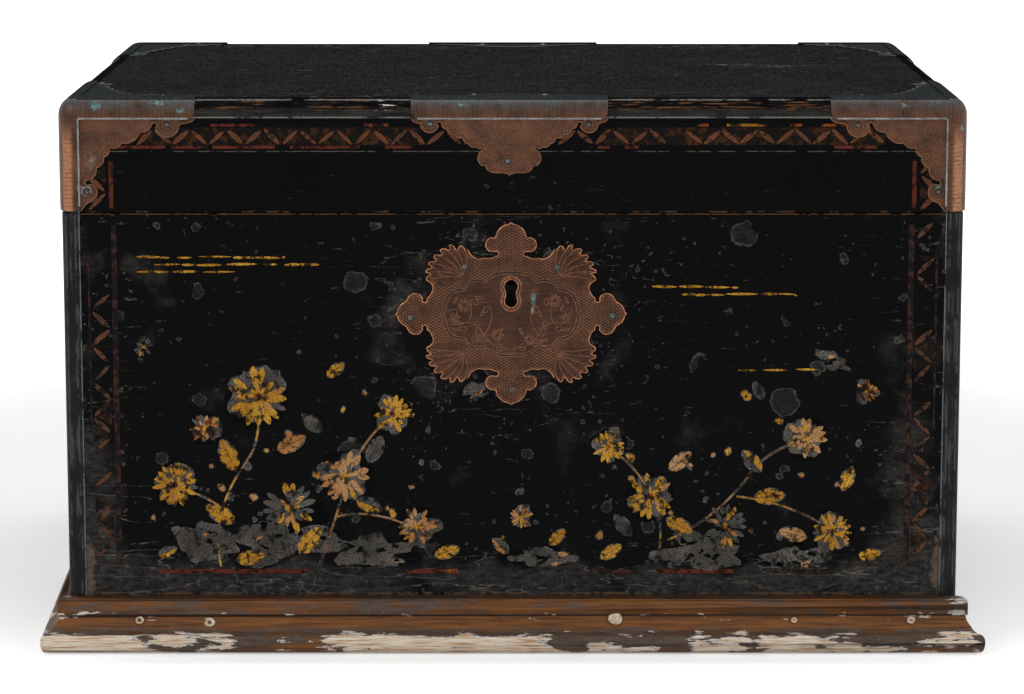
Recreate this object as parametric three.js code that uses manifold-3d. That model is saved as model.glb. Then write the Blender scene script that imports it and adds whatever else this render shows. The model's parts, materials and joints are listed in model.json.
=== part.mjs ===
// A flat-lidded lacquer chest with copper mounts, in millimetres, +Z up.
// The chest is drawn with X from its left to its right, Y from the front of the lid to its back
// and Z up from the floor. The last lines bring the middle of its footprint to the origin.
import * as THREE from "three";
import { RoundedBoxGeometry } from "three/addons/geometries/RoundedBoxGeometry.js";
import { mergeVertices } from "three/addons/utils/BufferGeometryUtils.js";
import Module from "manifold-3d";

const wasm = await Module();
wasm.setup();

// Overall sizes
const width = 598; // lid, over its edge beads
const depth = 430; // lid, from front bead to back bead
const height = 371.3; // floor to the top of the lid's edge beads
const lidGap = 0.5; // between the walls and the closed lid
const lidHeight = 75.5; // lower edge of the lid to the top of its beads
const glueLine = 0.2; // between wooden pieces, and under metal that lies on wood

// Walls of the chest
const wall = 14;
const floorBoard = 12;
const caseInset = 0.5; // the corner beads stand in from the lid's beads
const cornerBead = 12; // side of the square strip at each corner
const cornerRound = 5;
const caseRelief = 0.8; // the walls lie this far behind the corner beads

// Lid
const rim = 14;
const panel = 13;
const lidBead = 13; // side of the square edge bead
const lidRound = 11;
const rimRelief = 1.8; // the rims lie this far behind the bead
const panelRelief = 1; // the top panel lies this far below the bead

// Base moulding
const baseHeight = 36.2;
const baseNose = 18; // how far the nose stands out
const baseNoseHeight = 13;
const baseShelf = 7.2; // how far the upper band stands out
const baseShelfHeight = 12;
const baseCove = 1.3; // how deep the cove runs in under the band
const baseSplay = 1.7; // degrees by which the left moulding has sprung away at its back end
const mitreGap = 0.3;

// Copper mounts over the lid's edges
const sheet = 1;
const mountGap = 0.25; // between the sheet and the bead that it wraps
const flange = 0.9; // width of the fold that steps down from the bead to a leaf
const frontReach = 89.5; // length of a front corner mount along the front
const backReach = 78; // length of a back corner mount along the back
const sideReach = 114; // length of a corner mount along the sides
const mountFoot = 1; // from the foot of a corner mount to the lower edge of the lid
const centreReach = 64.8; // half the length of a centre mount
const centreDrop = 50; // how far a centre mount hangs down
const centreTopReach = 36; // how far a centre mount reaches back over the top panel
const centreShift = -2.2; // the front centre mount sits off the middle
const lobe = 8; // radius of the round lobe that holds a nail
const notch = 1.6; // radius of the drilled eye at the foot of a cut
const scallop = 10; // length of one scallop
const lobeBack = 18.3; // from the end of an arm to the middle of its lobe
const eyeBack = 26.6; // from the end of an arm to the drilled eye beside the lobe
const leafWaist = 4.2; // from the bead to the middle of the lobe and the eye
const leafStrip = 0.6; // width of a leaf where it begins, at the end of an arm
const armDrop = 2; // the arm along Y is this much wider at its lobe

// Escutcheon
const plateWidth = 154;
const plateHeight = 123.2;
const plateThick = 1.6;
const plateBelowSeam = 5.6;
const toothDepth = 2; // of the leaves at its corners
const lockShift = -1.1; // the lock sits off the middle of the front

// Keyhole
const keyholeRadius = 4.7;
const keyholePinch = 1.5; // the waist is this much narrower than the head, on each side
const keyholeFlare = 1.1; // and the foot is this much wider than the waist
const keyholeHeight = 17.2;
const keyholeSlack = 1.2; // the hole in the wood and in the lock is this much wider

// Lock
const lockWall = 1.6;
const lockBelowSeam = 0.6;
const lockFoot = 6.1; // from the foot of the keyhole to the foot of the lock
const boltRoom = 2.55; // between the unlocked bolt and the end of the lock
const boltThick = 3.4;
const barSide = 2.15; // metal above and below the slots in the bar
const prong = 6.4; // height of a prong
const prongDrop = 19.3; // from the seam to the middle of the prongs
const hookShank = 9;
const boltTravel = 8;
const stud = 2; // radius of the studs that carry the bolt
const runClearance = 0.35;
const talon = 4; // half width of the notch that the key turns in
const keyBite = 1.7; // how far the key's bit reaches into that notch

// Staple on the lid
const stapleSide = 7; // from the middle of a loop to the edge of the plate
const stapleHeight = 30;
const staplePlate = 2;
const loopSpacing = 36;
const loopThick = 3;
const loopSide = 2; // metal beside the eye
const loopFoot = 3.5; // metal below the eye
const eyePlay = 0.8; // round the prong in the eye
const barGap = 2.2; // between the foot of a loop and the bar below it
const tipClear = 2.35; // between an unlocked prong and its loop
const rootClear = 1.35; // between the hook and its loop when it is locked
const slotClearance = 1;
const loopRoom = 1.4; // free depth in the lock before and behind a loop

// Side handles
const handleDrop = 80.8; // from the seam to the pivot
const postSpacing = 104;
const postBall = 7; // radius of the pierced ball
const postNeck = 3.4;
const postFlare = 2; // height of the flared foot
const postNeckLength = 3.3;
const postShank = 2.6;
const postRivet = 5.2; // radius of the riveted end inside the chest
const rivetThick = 1.6;
const boreClearance = 0.3;
const rosette = 13;
const rosetteThick = 1.8;
const rosettePetals = 12;
const bailWire = 3.2; // radius
const bailDrop = 46;
const bailShoulder = 9; // radius of the bend outside the post
const bailCorner = 17; // radius of the lower bends
const bailKnob = 1.4; // how far the knob that keeps the bail in its post stands out round the wire
const eyeClearance = 0.4;

// Hinges
const hingeClear = 5; // between a hinge and the corner mount beside it
const hingeWidth = 64;
const hingeLeaf = 34;
const hingeThick = 1.6;
const knuckle = 4; // outer radius
const hingePin = 1.8; // radius
const pinClearance = 0.3;
const knuckleGap = 0.4;
const knuckleStand = 0.5; // between the lid's back bead and the knuckles
const knuckles = 5;

const lacquer = { color: "#141315", roughness: 0.28, metalness: 0 };
const innerLacquer = { color: "#2a1310", roughness: 0.4, metalness: 0 };
const bareWood = { color: "#7a4f22", roughness: 0.6, metalness: 0 };
const copper = { color: "#7a4a33", roughness: 0.45, metalness: 1 };
const iron = { color: "#3b3733", roughness: 0.6, metalness: 1 };

const halfWidth = width / 2;
const caseHalf = halfWidth - caseInset;
const caseFront = caseInset;
const caseBack = depth - caseInset;
const lidBottom = height - lidHeight;
const seam = lidBottom - lidGap; // top edge of the walls
const panelTop = height - panelRelief;
const spare = 1; // a cutting tool reaches at least this far past what it cuts

// Solids and geometries
const solid = (geometry) => {
  const bare = geometry.clone();
  bare.deleteAttribute("normal");
  bare.deleteAttribute("uv");
  const merged = mergeVertices(bare, 1e-4);
  return new wasm.Manifold(
    new wasm.Mesh({
      numProp: 3,
      vertProperties: new Float32Array(merged.attributes.position.array),
      triVerts: new Uint32Array(merged.index.array),
    }),
  );
};
const shell = (manifold) => {
  const mesh = manifold.getMesh();
  const geometry = new THREE.BufferGeometry();
  geometry.setAttribute("position", new THREE.BufferAttribute(mesh.vertProperties, 3));
  geometry.setIndex(new THREE.BufferAttribute(mesh.triVerts, 1));
  return geometry;
};
const joined = (...parts) => parts.reduce((sum, part) => sum.add(part));
const cut = (body, ...tools) => tools.reduce((rest, tool) => rest.subtract(tool), body);

// A block from its lowest and highest X, Y and Z, and one that is larger by a margin
const block = (x0, x1, y0, y1, z0, z1) => {
  const geometry = new THREE.BoxGeometry(x1 - x0, y1 - y0, z1 - z0);
  return solid(geometry.translate((x0 + x1) / 2, (y0 + y1) / 2, (z0 + z1) / 2));
};
const grown = ([x0, x1, y0, y1, z0, z1], by) =>
  block(x0 - by, x1 + by, y0 - by, y1 + by, z0 - by, z1 + by);

// Extrusions: a shape drawn in plan stands up, one drawn in elevation runs from back to front
const upright = (shape, z0, z1, curveSegments = 4) => {
  const geometry = new THREE.ExtrudeGeometry(shape, { depth: z1 - z0, bevelEnabled: false, curveSegments });
  return solid(geometry.translate(0, 0, z0));
};
const frontal = (shape, y0, y1, curveSegments = 4) => {
  const geometry = new THREE.ExtrudeGeometry(shape, { depth: y1 - y0, bevelEnabled: false, curveSegments });
  return solid(geometry.rotateX(Math.PI / 2).translate(0, y1, 0));
};
const outline = (points) => new THREE.Shape(points.map(([x, y]) => new THREE.Vector2(x, y)));
const disc = (x, y, radius) => new THREE.Shape().absarc(x, y, radius, 0, 2 * Math.PI);

// A solid seen in a mirror, across the middle of the chest's width or depth
const mirrored = (manifold, acrossX, acrossY) => {
  const geometry = shell(manifold);
  const flips = [acrossX ? -1 : 1, acrossY ? -1 : 1];
  geometry.scale(flips[0], flips[1], 1).translate(0, acrossY ? depth : 0, 0);
  if (flips[0] * flips[1] < 0) {
    geometry.index.array.reverse();
  }
  return solid(geometry);
};

const flippedY = (manifold) => {
  const geometry = shell(manifold).scale(1, -1, 1);
  geometry.index.array.reverse();
  return solid(geometry);
};
const moved = (manifold, matrix) => solid(shell(manifold).applyMatrix4(matrix));
const axes = (x, y, z, origin) => {
  const vectors = [x, y, z].map(([a, b, c]) => new THREE.Vector3(a, b, c));
  return new THREE.Matrix4().makeBasis(...vectors).setPosition(...origin);
};

const chest = new THREE.Group();
const lid = new THREE.Group();
chest.add(lid);
const add = (group, name, part, finish) => {
  const mesh = new THREE.Mesh(
    part instanceof THREE.BufferGeometry ? part : shell(part),
    new THREE.MeshStandardMaterial(finish),
  );
  mesh.name = name;
  group.add(mesh);
  return mesh;
};

// Lock: its place is shared by the front board, the escutcheon, the bolt and the staple.
// The staple's loops drop in front of the bolt's prongs, the bar lies below them, and the key
// turns below the bar.
const faceFront = caseFront + caseRelief; // outer face of the front board
const innerFront = faceFront + wall;
const loopEye = [boltThick + 2 * eyePlay, prong + 2 * eyePlay]; // depth and height
const loopWidth = loopEye[0] + 2 * loopSide;
const loopPlaces = [lockShift - loopSpacing / 2, lockShift + loopSpacing / 2];
const stapleFront = rimRelief + rim + glueLine;
const boltMiddle = stapleFront + staplePlate / 2; // Y of the bolt's middle
const prongMiddle = seam - prongDrop;
const loopBottom = prongMiddle - loopEye[1] / 2 - loopFoot;
const boltBar = 2 * (stud + runClearance + barSide); // height of the bar
const barTop = loopBottom - barGap;
const barMiddle = barTop - boltBar / 2;
const barFoot = barTop - boltBar;
const tipGap = loopThick / 2 + tipClear; // from an unlocked tip to the middle of its loop
const prongLength = boltTravel - tipGap + loopThick / 2 + rootClear;
const keyholeWaist = keyholeRadius - keyholePinch;
const keyholeFoot = keyholeWaist + keyholeFlare;
const keyholeAxis = barFoot + keyBite - (keyholeHeight - keyholeRadius); // height of the key's axis
const lockHalf = loopSpacing / 2 + tipGap + prongLength + hookShank + boltRoom + lockWall;
const lockHalfDepth = loopWidth / 2 + loopRoom + lockWall;
const lockBottom = keyholeAxis + keyholeRadius - keyholeHeight - keyholeSlack - lockFoot;
const lockBox = [
  lockShift - lockHalf,
  lockShift + lockHalf,
  boltMiddle - lockHalfDepth,
  boltMiddle + lockHalfDepth,
  lockBottom,
  seam - lockBelowSeam,
];

// The keyhole: a round head on a foot that widens again below a waist
const keyholeShape = (slack) => {
  const head = keyholeRadius + slack;
  const foot = keyholeFoot + slack;
  const waist = keyholeWaist + slack;
  const base = keyholeAxis + keyholeRadius - keyholeHeight - slack;
  const side = Math.asin(waist / head);
  const shape = new THREE.Shape();
  shape.absarc(lockShift, keyholeAxis, head, side - Math.PI / 2, 1.5 * Math.PI - side);
  const [belly, hip] = [base + foot * 0.6, base + foot * 1.3];
  shape.quadraticCurveTo(lockShift - waist, hip, lockShift - foot, belly);
  shape.quadraticCurveTo(lockShift - foot, base, lockShift, base);
  shape.quadraticCurveTo(lockShift + foot, base, lockShift + foot, belly);
  shape.quadraticCurveTo(lockShift + waist, hip, lockShift + waist, keyholeAxis - head * Math.cos(side));
  return shape;
};
const keyBlock = (y0, y1) =>
  block(
    lockShift - keyholeRadius - keyholeSlack,
    lockShift + keyholeRadius + keyholeSlack,
    y0,
    y1,
    keyholeAxis + keyholeRadius - keyholeHeight - keyholeSlack,
    keyholeAxis + keyholeRadius + keyholeSlack,
  );

// Walls: the front and back boards run between the corner beads, the side boards are
// rebated round both, and the bottom board lies inside all four.
const boardHalf = caseHalf - cornerBead - glueLine;
const frontBoard = [-boardHalf, boardHalf, faceFront, innerFront, 0, seam];
const backBoard = [-boardHalf, boardHalf, depth - innerFront, depth - faceFront, 0, seam];
const cornerBlock = [-caseHalf, -caseHalf + cornerBead, caseFront, caseFront + cornerBead, 0, seam];
const sideOuter = caseHalf - caseRelief;
const sideInner = sideOuter - wall;
const handleHeight = seam - handleDrop;
const tall = (box, by) => grown([box[0], box[1], box[2], box[3], box[4] - spare, box[5] + spare], by);

const postPlaces = [depth / 2 - postSpacing / 2, depth / 2 + postSpacing / 2];
const rod = (radius, length, sides = 16) =>
  new THREE.CylinderGeometry(radius, radius, length, sides);

const leftBoard = () => {
  const whole = block(-sideOuter, -sideInner, faceFront, depth - faceFront, 0, seam);
  const corner = tall(cornerBlock, glueLine);
  const bores = postPlaces.map((y) => {
    const bore = rod(postShank + boreClearance, 3 * wall).rotateZ(Math.PI / 2);
    return solid(bore.translate(-sideOuter, y, handleHeight));
  });
  const ends = [tall(frontBoard, glueLine), tall(backBoard, glueLine)];
  return cut(whole, corner, mirrored(corner, false, true), ...ends, ...bores);
};
const leftCorner = () => {
  const [x0, x1, y0, y1] = cornerBlock;
  const shape = new THREE.Shape();
  shape.moveTo(x0 + cornerRound, y0);
  shape.lineTo(x1, y0);
  shape.lineTo(x1, y1);
  shape.lineTo(x0, y1);
  shape.lineTo(x0, y0 + cornerRound);
  shape.absarc(x0 + cornerRound, y0 + cornerRound, cornerRound, Math.PI, 1.5 * Math.PI);
  return upright(shape, 0, seam);
};
const walls = () => {
  const front = block(...frontBoard);
  add(chest, "front_board", cut(front, tall(lockBox, glueLine), keyBlock(-wall, 2 * wall)), lacquer);
  add(chest, "back_board", block(...backBoard), lacquer);
  const side = leftBoard();
  add(chest, "left_side_board", side, lacquer);
  add(chest, "right_side_board", mirrored(side, true, false), lacquer);
  const inside = sideInner - glueLine;
  const boardFront = innerFront + glueLine;
  const bottom = block(-inside, inside, boardFront, depth - boardFront, 0, floorBoard);
  add(chest, "bottom_board", bottom, innerLacquer);
  const bead = leftCorner();
  for (const [end, acrossY] of [["front", false], ["back", true]]) {
    for (const [hand, acrossX] of [["left", false], ["right", true]]) {
      add(chest, `${end}_${hand}_corner_bead`, mirrored(bead, acrossX, acrossY), lacquer);
    }
  }
};

// Base moulding: a worn nose, a cove and a band, mitred at the front corners.
// The right-hand piece is gone, and the left-hand one has sprung away at its back.
const mouldingShape = () => {
  const bandFoot = baseHeight - baseShelfHeight;
  const coveOut = baseShelf - baseCove;
  const coveFoot = baseNoseHeight * 1.3;
  const shape = new THREE.Shape();
  shape.moveTo(0, 0);
  shape.lineTo(baseNose * 0.75, 0);
  shape.bezierCurveTo(baseNose * 0.94, 0, baseNose, baseNoseHeight * 0.3, baseNose, baseNoseHeight * 0.6);
  shape.quadraticCurveTo(baseNose, baseNoseHeight, baseNose * 0.8, baseNoseHeight);
  shape.quadraticCurveTo(baseNose * 0.6, baseNoseHeight * 1.05, baseNose * 0.52, coveFoot);
  shape.quadraticCurveTo(coveOut, (coveFoot + bandFoot) / 2, coveOut, bandFoot);
  shape.lineTo(baseShelf, bandFoot);
  shape.lineTo(baseShelf, bandFoot + baseShelfHeight * 0.6);
  shape.quadraticCurveTo(baseShelf, baseHeight, baseShelf * 0.5, baseHeight);
  shape.lineTo(0, baseHeight);
  return shape;
};
const moulding = (length) => {
  const geometry = new THREE.ExtrudeGeometry(mouldingShape(), {
    depth: length,
    bevelEnabled: false,
    curveSegments: 4,
  });
  // the nose now points to the front, and the piece runs along X to the left
  return geometry.rotateX(Math.PI / 2).rotateZ(-Math.PI / 2);
};
const baseCorner = [-caseHalf - glueLine, caseFront - glueLine];
const mitreTool = (side) => {
  // everything on one side of the 45 degree cut at the left front corner
  const reach = 3 * baseNose;
  const shift = (side * mitreGap) / 2;
  const points = [
    [-reach, -reach],
    [reach, reach],
    [reach * (1 - side), reach * (1 + side)],
    [-reach * (1 + side), -reach * (1 - side)],
  ];
  const corners = points.map(([x, y]) => [baseCorner[0] + x + shift, baseCorner[1] + y - shift]);
  return upright(outline(corners), -spare, baseHeight + spare);
};
const baseMouldings = () => {
  const outer = -baseCorner[0] + baseNose;
  const front = solid(moulding(2 * outer).translate(outer, baseCorner[1], 0));
  const leftCut = mitreTool(1);
  const mitred = cut(front, leftCut, mirrored(leftCut, true, false));
  add(chest, "front_base_moulding", mitred, bareWood);
  const overrun = 1.5 * baseNose; // past the mitre
  const along = moulding(caseBack - baseCorner[1] + overrun).rotateZ(-Math.PI / 2);
  along.translate(0, -overrun, 0).rotateZ((baseSplay * Math.PI) / 180);
  along.translate(baseCorner[0], baseCorner[1], 0);
  add(chest, "left_base_moulding", cut(solid(along), mitreTool(-1)), bareWood);
};

// Escutcheon: three round lobes on each side, and a leaf with pointed teeth at each corner.
// One quarter is drawn from the top lobe's tip to the right lobe's tip, in shares of half the
// plate, and mirrored. Drilled eyes end the cuts between the lobes and the leaves.
const plateHalf = [plateWidth / 2, plateHeight / 2];
const plateCentre = seam - plateBelowSeam - plateHalf[1];
const plateEyes = [
  [0.14, 0.655],
  [0.745, 0.15],
];
const leafTeeth = [
  [0.38, 0.755],
  [0.455, 0.735],
  [0.53, 0.755],
  [0.615, 0.685],
  [0.665, 0.62],
  [0.71, 0.545],
  [0.725, 0.455],
  [0.725, 0.365],
];
const leafHeart = [0.42, 0.36]; // the teeth point away from here
const quarterPlate = () => {
  const at = ([x, y]) => [x * plateHalf[0], y * plateHalf[1]];
  const path = new THREE.Path().moveTo(...at([0, 1]));
  const curve = (control, end) => path.quadraticCurveTo(...at(control), ...at(end));
  // half of the top lobe, with its side lobe, and the cut below it
  curve([0.045, 0.965], [0.09, 0.955]);
  curve([0.17, 0.92], [0.165, 0.85]);
  curve([0.235, 0.83], [0.215, 0.73]);
  curve([0.2, 0.67], plateEyes[0]);
  curve([0.2, 0.6], [0.33, 0.63]);
  // teeth of the corner leaf, each with a round flank that ends in a point
  const heart = at(leafHeart);
  const inwards = (x, y, by) => {
    const far = Math.hypot(x - heart[0], y - heart[1]);
    return [x + ((heart[0] - x) * by) / far, y + ((heart[1] - y) * by) / far];
  };
  const [flank, valley] = [0.6, 0.3]; // shares of a tooth's depth, and of the way to the next tip
  leafTeeth.forEach((tooth, i) => {
    const tip = at(tooth);
    const from = path.currentPoint;
    const control = inwards((from.x + tip[0]) / 2, (from.y + tip[1]) / 2, -toothDepth * flank);
    path.quadraticCurveTo(...control, ...tip);
    if (i + 1 < leafTeeth.length) {
      const next = at(leafTeeth[i + 1]);
      const foot = [0, 1].map((k) => tip[k] * (1 - valley) + next[k] * valley);
      path.lineTo(...inwards(...foot, toothDepth));
    }
  });
  // inner side of the leaf, the shoulder and the right lobe
  path.lineTo(...at([0.67, 0.33]));
  curve([0.655, 0.27], plateEyes[1]);
  curve([0.76, 0.205], [0.8, 0.215]);
  curve([0.87, 0.215], [0.885, 0.145]);
  curve([0.955, 0.12], [0.965, 0.06]);
  curve([0.975, 0.025], [1, 0]);
  return path.getPoints(2);
};
const plateQuarters = [[1, 1], [1, -1], [-1, -1], [-1, 1]];
const plateShape = () => {
  const quarter = quarterPlate();
  const around = [];
  for (const [sx, sy] of plateQuarters) {
    const side = quarter.map((p) => new THREE.Vector2(lockShift + sx * p.x, plateCentre + sy * p.y));
    around.push(...(sx * sy > 0 ? side : side.reverse()).slice(1));
  }
  return new THREE.Shape(around);
};

const escutcheon = () => {
  const plateBack = faceFront - glueLine;
  const through = (shape) => frontal(shape, plateBack - 2 * plateThick, plateBack + plateThick);
  const plate = frontal(plateShape(), plateBack - plateThick, plateBack);
  const eyes = plateQuarters.flatMap(([sx, sy]) =>
    plateEyes.map(([x, y]) =>
      through(disc(lockShift + sx * x * plateHalf[0], plateCentre + sy * y * plateHalf[1], notch)),
    ),
  );
  add(chest, "escutcheon_plate", cut(plate, through(keyholeShape(0)), ...eyes), copper);
};

const lock = () => {
  // an iron box with a loose back, slots in its top for the staple and two studs for the bolt
  const [x0, x1, y0, y1, z0, z1] = lockBox;
  const inner = block(
    x0 + lockWall,
    x1 - lockWall,
    y0 + lockWall,
    y1 + spare,
    z0 + lockWall,
    z1 - lockWall,
  );
  const slots = loopPlaces.map((x) =>
    block(
      x - loopThick / 2 - slotClearance,
      x + loopThick / 2 + slotClearance,
      boltMiddle - loopWidth / 2 - slotClearance,
      boltMiddle + loopWidth / 2 + slotClearance,
      z1 - 2 * lockWall,
      z1 + spare,
    ),
  );
  const studs = loopPlaces.map((x) => {
    const length = boltMiddle + boltThick - y0 - lockWall / 2;
    const geometry = rod(stud, length, 10).translate(0, length / 2, 0);
    return solid(geometry.translate(x, y0 + lockWall / 2, barMiddle));
  });
  const box = cut(block(x0, x1, y0, y1, z0, z1), inner, ...slots, keyBlock(y0 - spare, y0 + 2 * lockWall));
  add(chest, "lock_case", joined(box, ...studs), iron);
  const cover = block(x0, x1, y1 + glueLine, y1 + glueLine + lockWall, z0, z1);
  const pivot = rod(keyholeWaist, 4 * lockWall, 12).translate(lockShift, y1, keyholeAxis);
  add(chest, "lock_cover", cut(cover, solid(pivot)), iron);

  // the bolt: a bar with a notch for the key, and two hooks that pass through the staple's eyes
  const slide = [];
  const start = loopPlaces[0] - tipGap - prongLength - hookShank;
  slide.push([start, barFoot], [lockShift - talon, barFoot], [lockShift - talon * 0.6, barFoot + talon]);
  slide.push([lockShift + talon * 0.6, barFoot + talon], [lockShift + talon, barFoot]);
  const end = loopPlaces[1] + boltBar / 2;
  slide.push([end, barFoot], [end, barTop]);
  for (const place of [...loopPlaces].reverse()) {
    const tip = place - tipGap;
    const root = tip - prongLength;
    slide.push([root, barTop], [root, prongMiddle - prong / 2], [tip, prongMiddle - prong / 2]);
    slide.push([tip, prongMiddle + prong / 2], [root - hookShank, prongMiddle + prong / 2]);
    if (place !== loopPlaces[0]) {
      slide.push([root - hookShank, barTop]);
    }
  }
  const ways = loopPlaces.map((x) => {
    const shape = new THREE.Shape();
    const free = stud + runClearance;
    shape.absarc(x, barMiddle, free, -Math.PI / 2, Math.PI / 2);
    shape.absarc(x - boltTravel, barMiddle, free, Math.PI / 2, 1.5 * Math.PI);
    return frontal(shape, boltMiddle - boltThick, boltMiddle + boltThick, 5);
  });
  const bolt = frontal(outline(slide), boltMiddle - boltThick / 2, boltMiddle + boltThick / 2);
  add(chest, "lock_bolt", cut(bolt, ...ways), iron);
};

// Staple: a plate on the inner face of the lid's front rim, with two loops that drop into the lock
const staple = () => {
  const back = stapleFront + staplePlate;
  const plate = block(
    loopPlaces[0] - stapleSide,
    loopPlaces[1] + stapleSide,
    stapleFront,
    back,
    lidBottom,
    lidBottom + stapleHeight,
  );
  const loops = loopPlaces.map((x) => {
    const front = boltMiddle - loopWidth / 2;
    const rear = boltMiddle + loopWidth / 2;
    const neck = lidBottom - 3 * glueLine;
    const [x0, x1] = [x - loopThick / 2, x + loopThick / 2];
    const body = joined(
      block(x0, x1, front, rear, loopBottom, neck),
      block(x0, x1, stapleFront, rear, loopBottom, lidBottom + stapleHeight / 3),
    );
    const eye = block(
      x - loopThick,
      x + loopThick,
      boltMiddle - loopEye[0] / 2,
      boltMiddle + loopEye[0] / 2,
      prongMiddle - loopEye[1] / 2,
      prongMiddle + loopEye[1] / 2,
    );
    return cut(body, eye);
  });
  add(lid, "lid_staple", joined(plate, ...loops), iron);
};

// Side handles: on each side two pierced posts through scalloped rosettes, and a bail between them
const neckFoot = glueLine + rosetteThick + glueLine; // height of the post's foot over the side
const ballFoot = neckFoot + postFlare + postNeckLength;
const postStand = ballFoot + Math.sqrt(postBall ** 2 - postNeck ** 2); // height of the ball's middle
const postSolid = () => {
  const inside = -wall - glueLine;
  const turned = [
    new THREE.Vector2(0, inside - rivetThick),
    new THREE.Vector2(postRivet * 0.8, inside - rivetThick),
    new THREE.Vector2(postRivet, inside - rivetThick / 2),
    new THREE.Vector2(postRivet, inside),
    new THREE.Vector2(postShank, inside),
    new THREE.Vector2(postShank, neckFoot),
    new THREE.Vector2(postNeck * 1.5, neckFoot),
    new THREE.Vector2(postNeck, neckFoot + postFlare),
    new THREE.Vector2(postNeck, ballFoot),
  ];
  const from = Math.asin(postNeck / postBall);
  const steps = 6;
  for (let i = 1; i <= steps; i += 1) {
    const angle = from + ((Math.PI - from) * i) / steps;
    const radius = i === steps ? 0 : postBall * Math.sin(angle);
    turned.push(new THREE.Vector2(radius, postStand - postBall * Math.cos(angle)));
  }
  // turned about Y, then laid so that it points to the left
  const turnedPost = solid(new THREE.LatheGeometry(turned, 12).rotateZ(Math.PI / 2));
  return cut(turnedPost, solid(rod(bailWire + eyeClearance, 4 * postBall, 12).translate(-postStand, 0, 0)));
};
const rosetteSolid = () => {
  const shape = new THREE.Shape();
  const step = (2 * Math.PI) / rosettePetals;
  const cusp = rosette * 0.88;
  shape.moveTo(cusp, 0);
  for (let i = 0; i < rosettePetals; i += 1) {
    const middle = (i + 0.5) * step;
    const next = (i + 1) * step;
    const swell = rosette * 1.12;
    shape.quadraticCurveTo(
      swell * Math.cos(middle),
      swell * Math.sin(middle),
      cusp * Math.cos(next),
      cusp * Math.sin(next),
    );
  }
  shape.holes.push(new THREE.Path().absarc(0, 0, postShank + boreClearance, 0, 2 * Math.PI));
  const geometry = new THREE.ExtrudeGeometry(shape, {
    depth: rosetteThick,
    bevelEnabled: false,
    curveSegments: 4,
  });
  return solid(geometry.rotateY(-Math.PI / 2));
};
const bailSolid = () => {
  const half = postSpacing / 2;
  const inner = half - postBall - bailWire;
  const shoulder = half + postBall + bailWire;
  const outer = shoulder + bailShoulder;
  const at = (y, z) => new THREE.Vector3(0, y, z);
  const route = new THREE.CurvePath();
  route.add(new THREE.LineCurve3(at(-inner, 0), at(-shoulder, 0)));
  route.add(new THREE.QuadraticBezierCurve3(at(-shoulder, 0), at(-outer, 0), at(-outer, -bailShoulder)));
  const turn = -bailDrop + bailCorner;
  route.add(new THREE.LineCurve3(at(-outer, -bailShoulder), at(-outer, turn)));
  const low = outer - bailCorner;
  route.add(new THREE.QuadraticBezierCurve3(at(-outer, turn), at(-outer, -bailDrop), at(-low, -bailDrop)));
  route.add(new THREE.LineCurve3(at(-low, -bailDrop), at(low, -bailDrop)));
  route.add(new THREE.QuadraticBezierCurve3(at(low, -bailDrop), at(outer, -bailDrop), at(outer, turn)));
  route.add(new THREE.LineCurve3(at(outer, turn), at(outer, -bailShoulder)));
  route.add(new THREE.QuadraticBezierCurve3(at(outer, -bailShoulder), at(outer, 0), at(shoulder, 0)));
  route.add(new THREE.LineCurve3(at(shoulder, 0), at(inner, 0)));
  const wire = new THREE.ExtrudeGeometry(disc(0, 0, bailWire), {
    extrudePath: route,
    steps: 40,
    curveSegments: 4,
    bevelEnabled: false,
  });
  const knob = bailWire + bailKnob;
  const knobs = [-inner, inner].map((y) =>
    solid(new THREE.SphereGeometry(knob, 10, 7).translate(0, y - Math.sign(y) * knob * 0.6, 0)),
  );
  return joined(solid(wire), ...knobs);
};
const handles = () => {
  const post = postSolid();
  const rosetteLeft = rosetteSolid();
  const bail = bailSolid().translate(-sideOuter - postStand, depth / 2, handleHeight);
  for (const [hand, acrossX] of [["left", false], ["right", true]]) {
    for (const [end, y] of [["front", postPlaces[0]], ["back", postPlaces[1]]]) {
      const seat = rosetteLeft.translate(-sideOuter - glueLine, y, handleHeight);
      add(chest, `${hand}_${end}_rosette`, mirrored(seat, acrossX, false), copper);
      const stood = post.translate(-sideOuter, y, handleHeight);
      add(chest, `${hand}_${end}_post`, mirrored(stood, acrossX, false), copper);
    }
    add(chest, `${hand}_bail`, mirrored(bail, acrossX, false), copper);
  }
};

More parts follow.
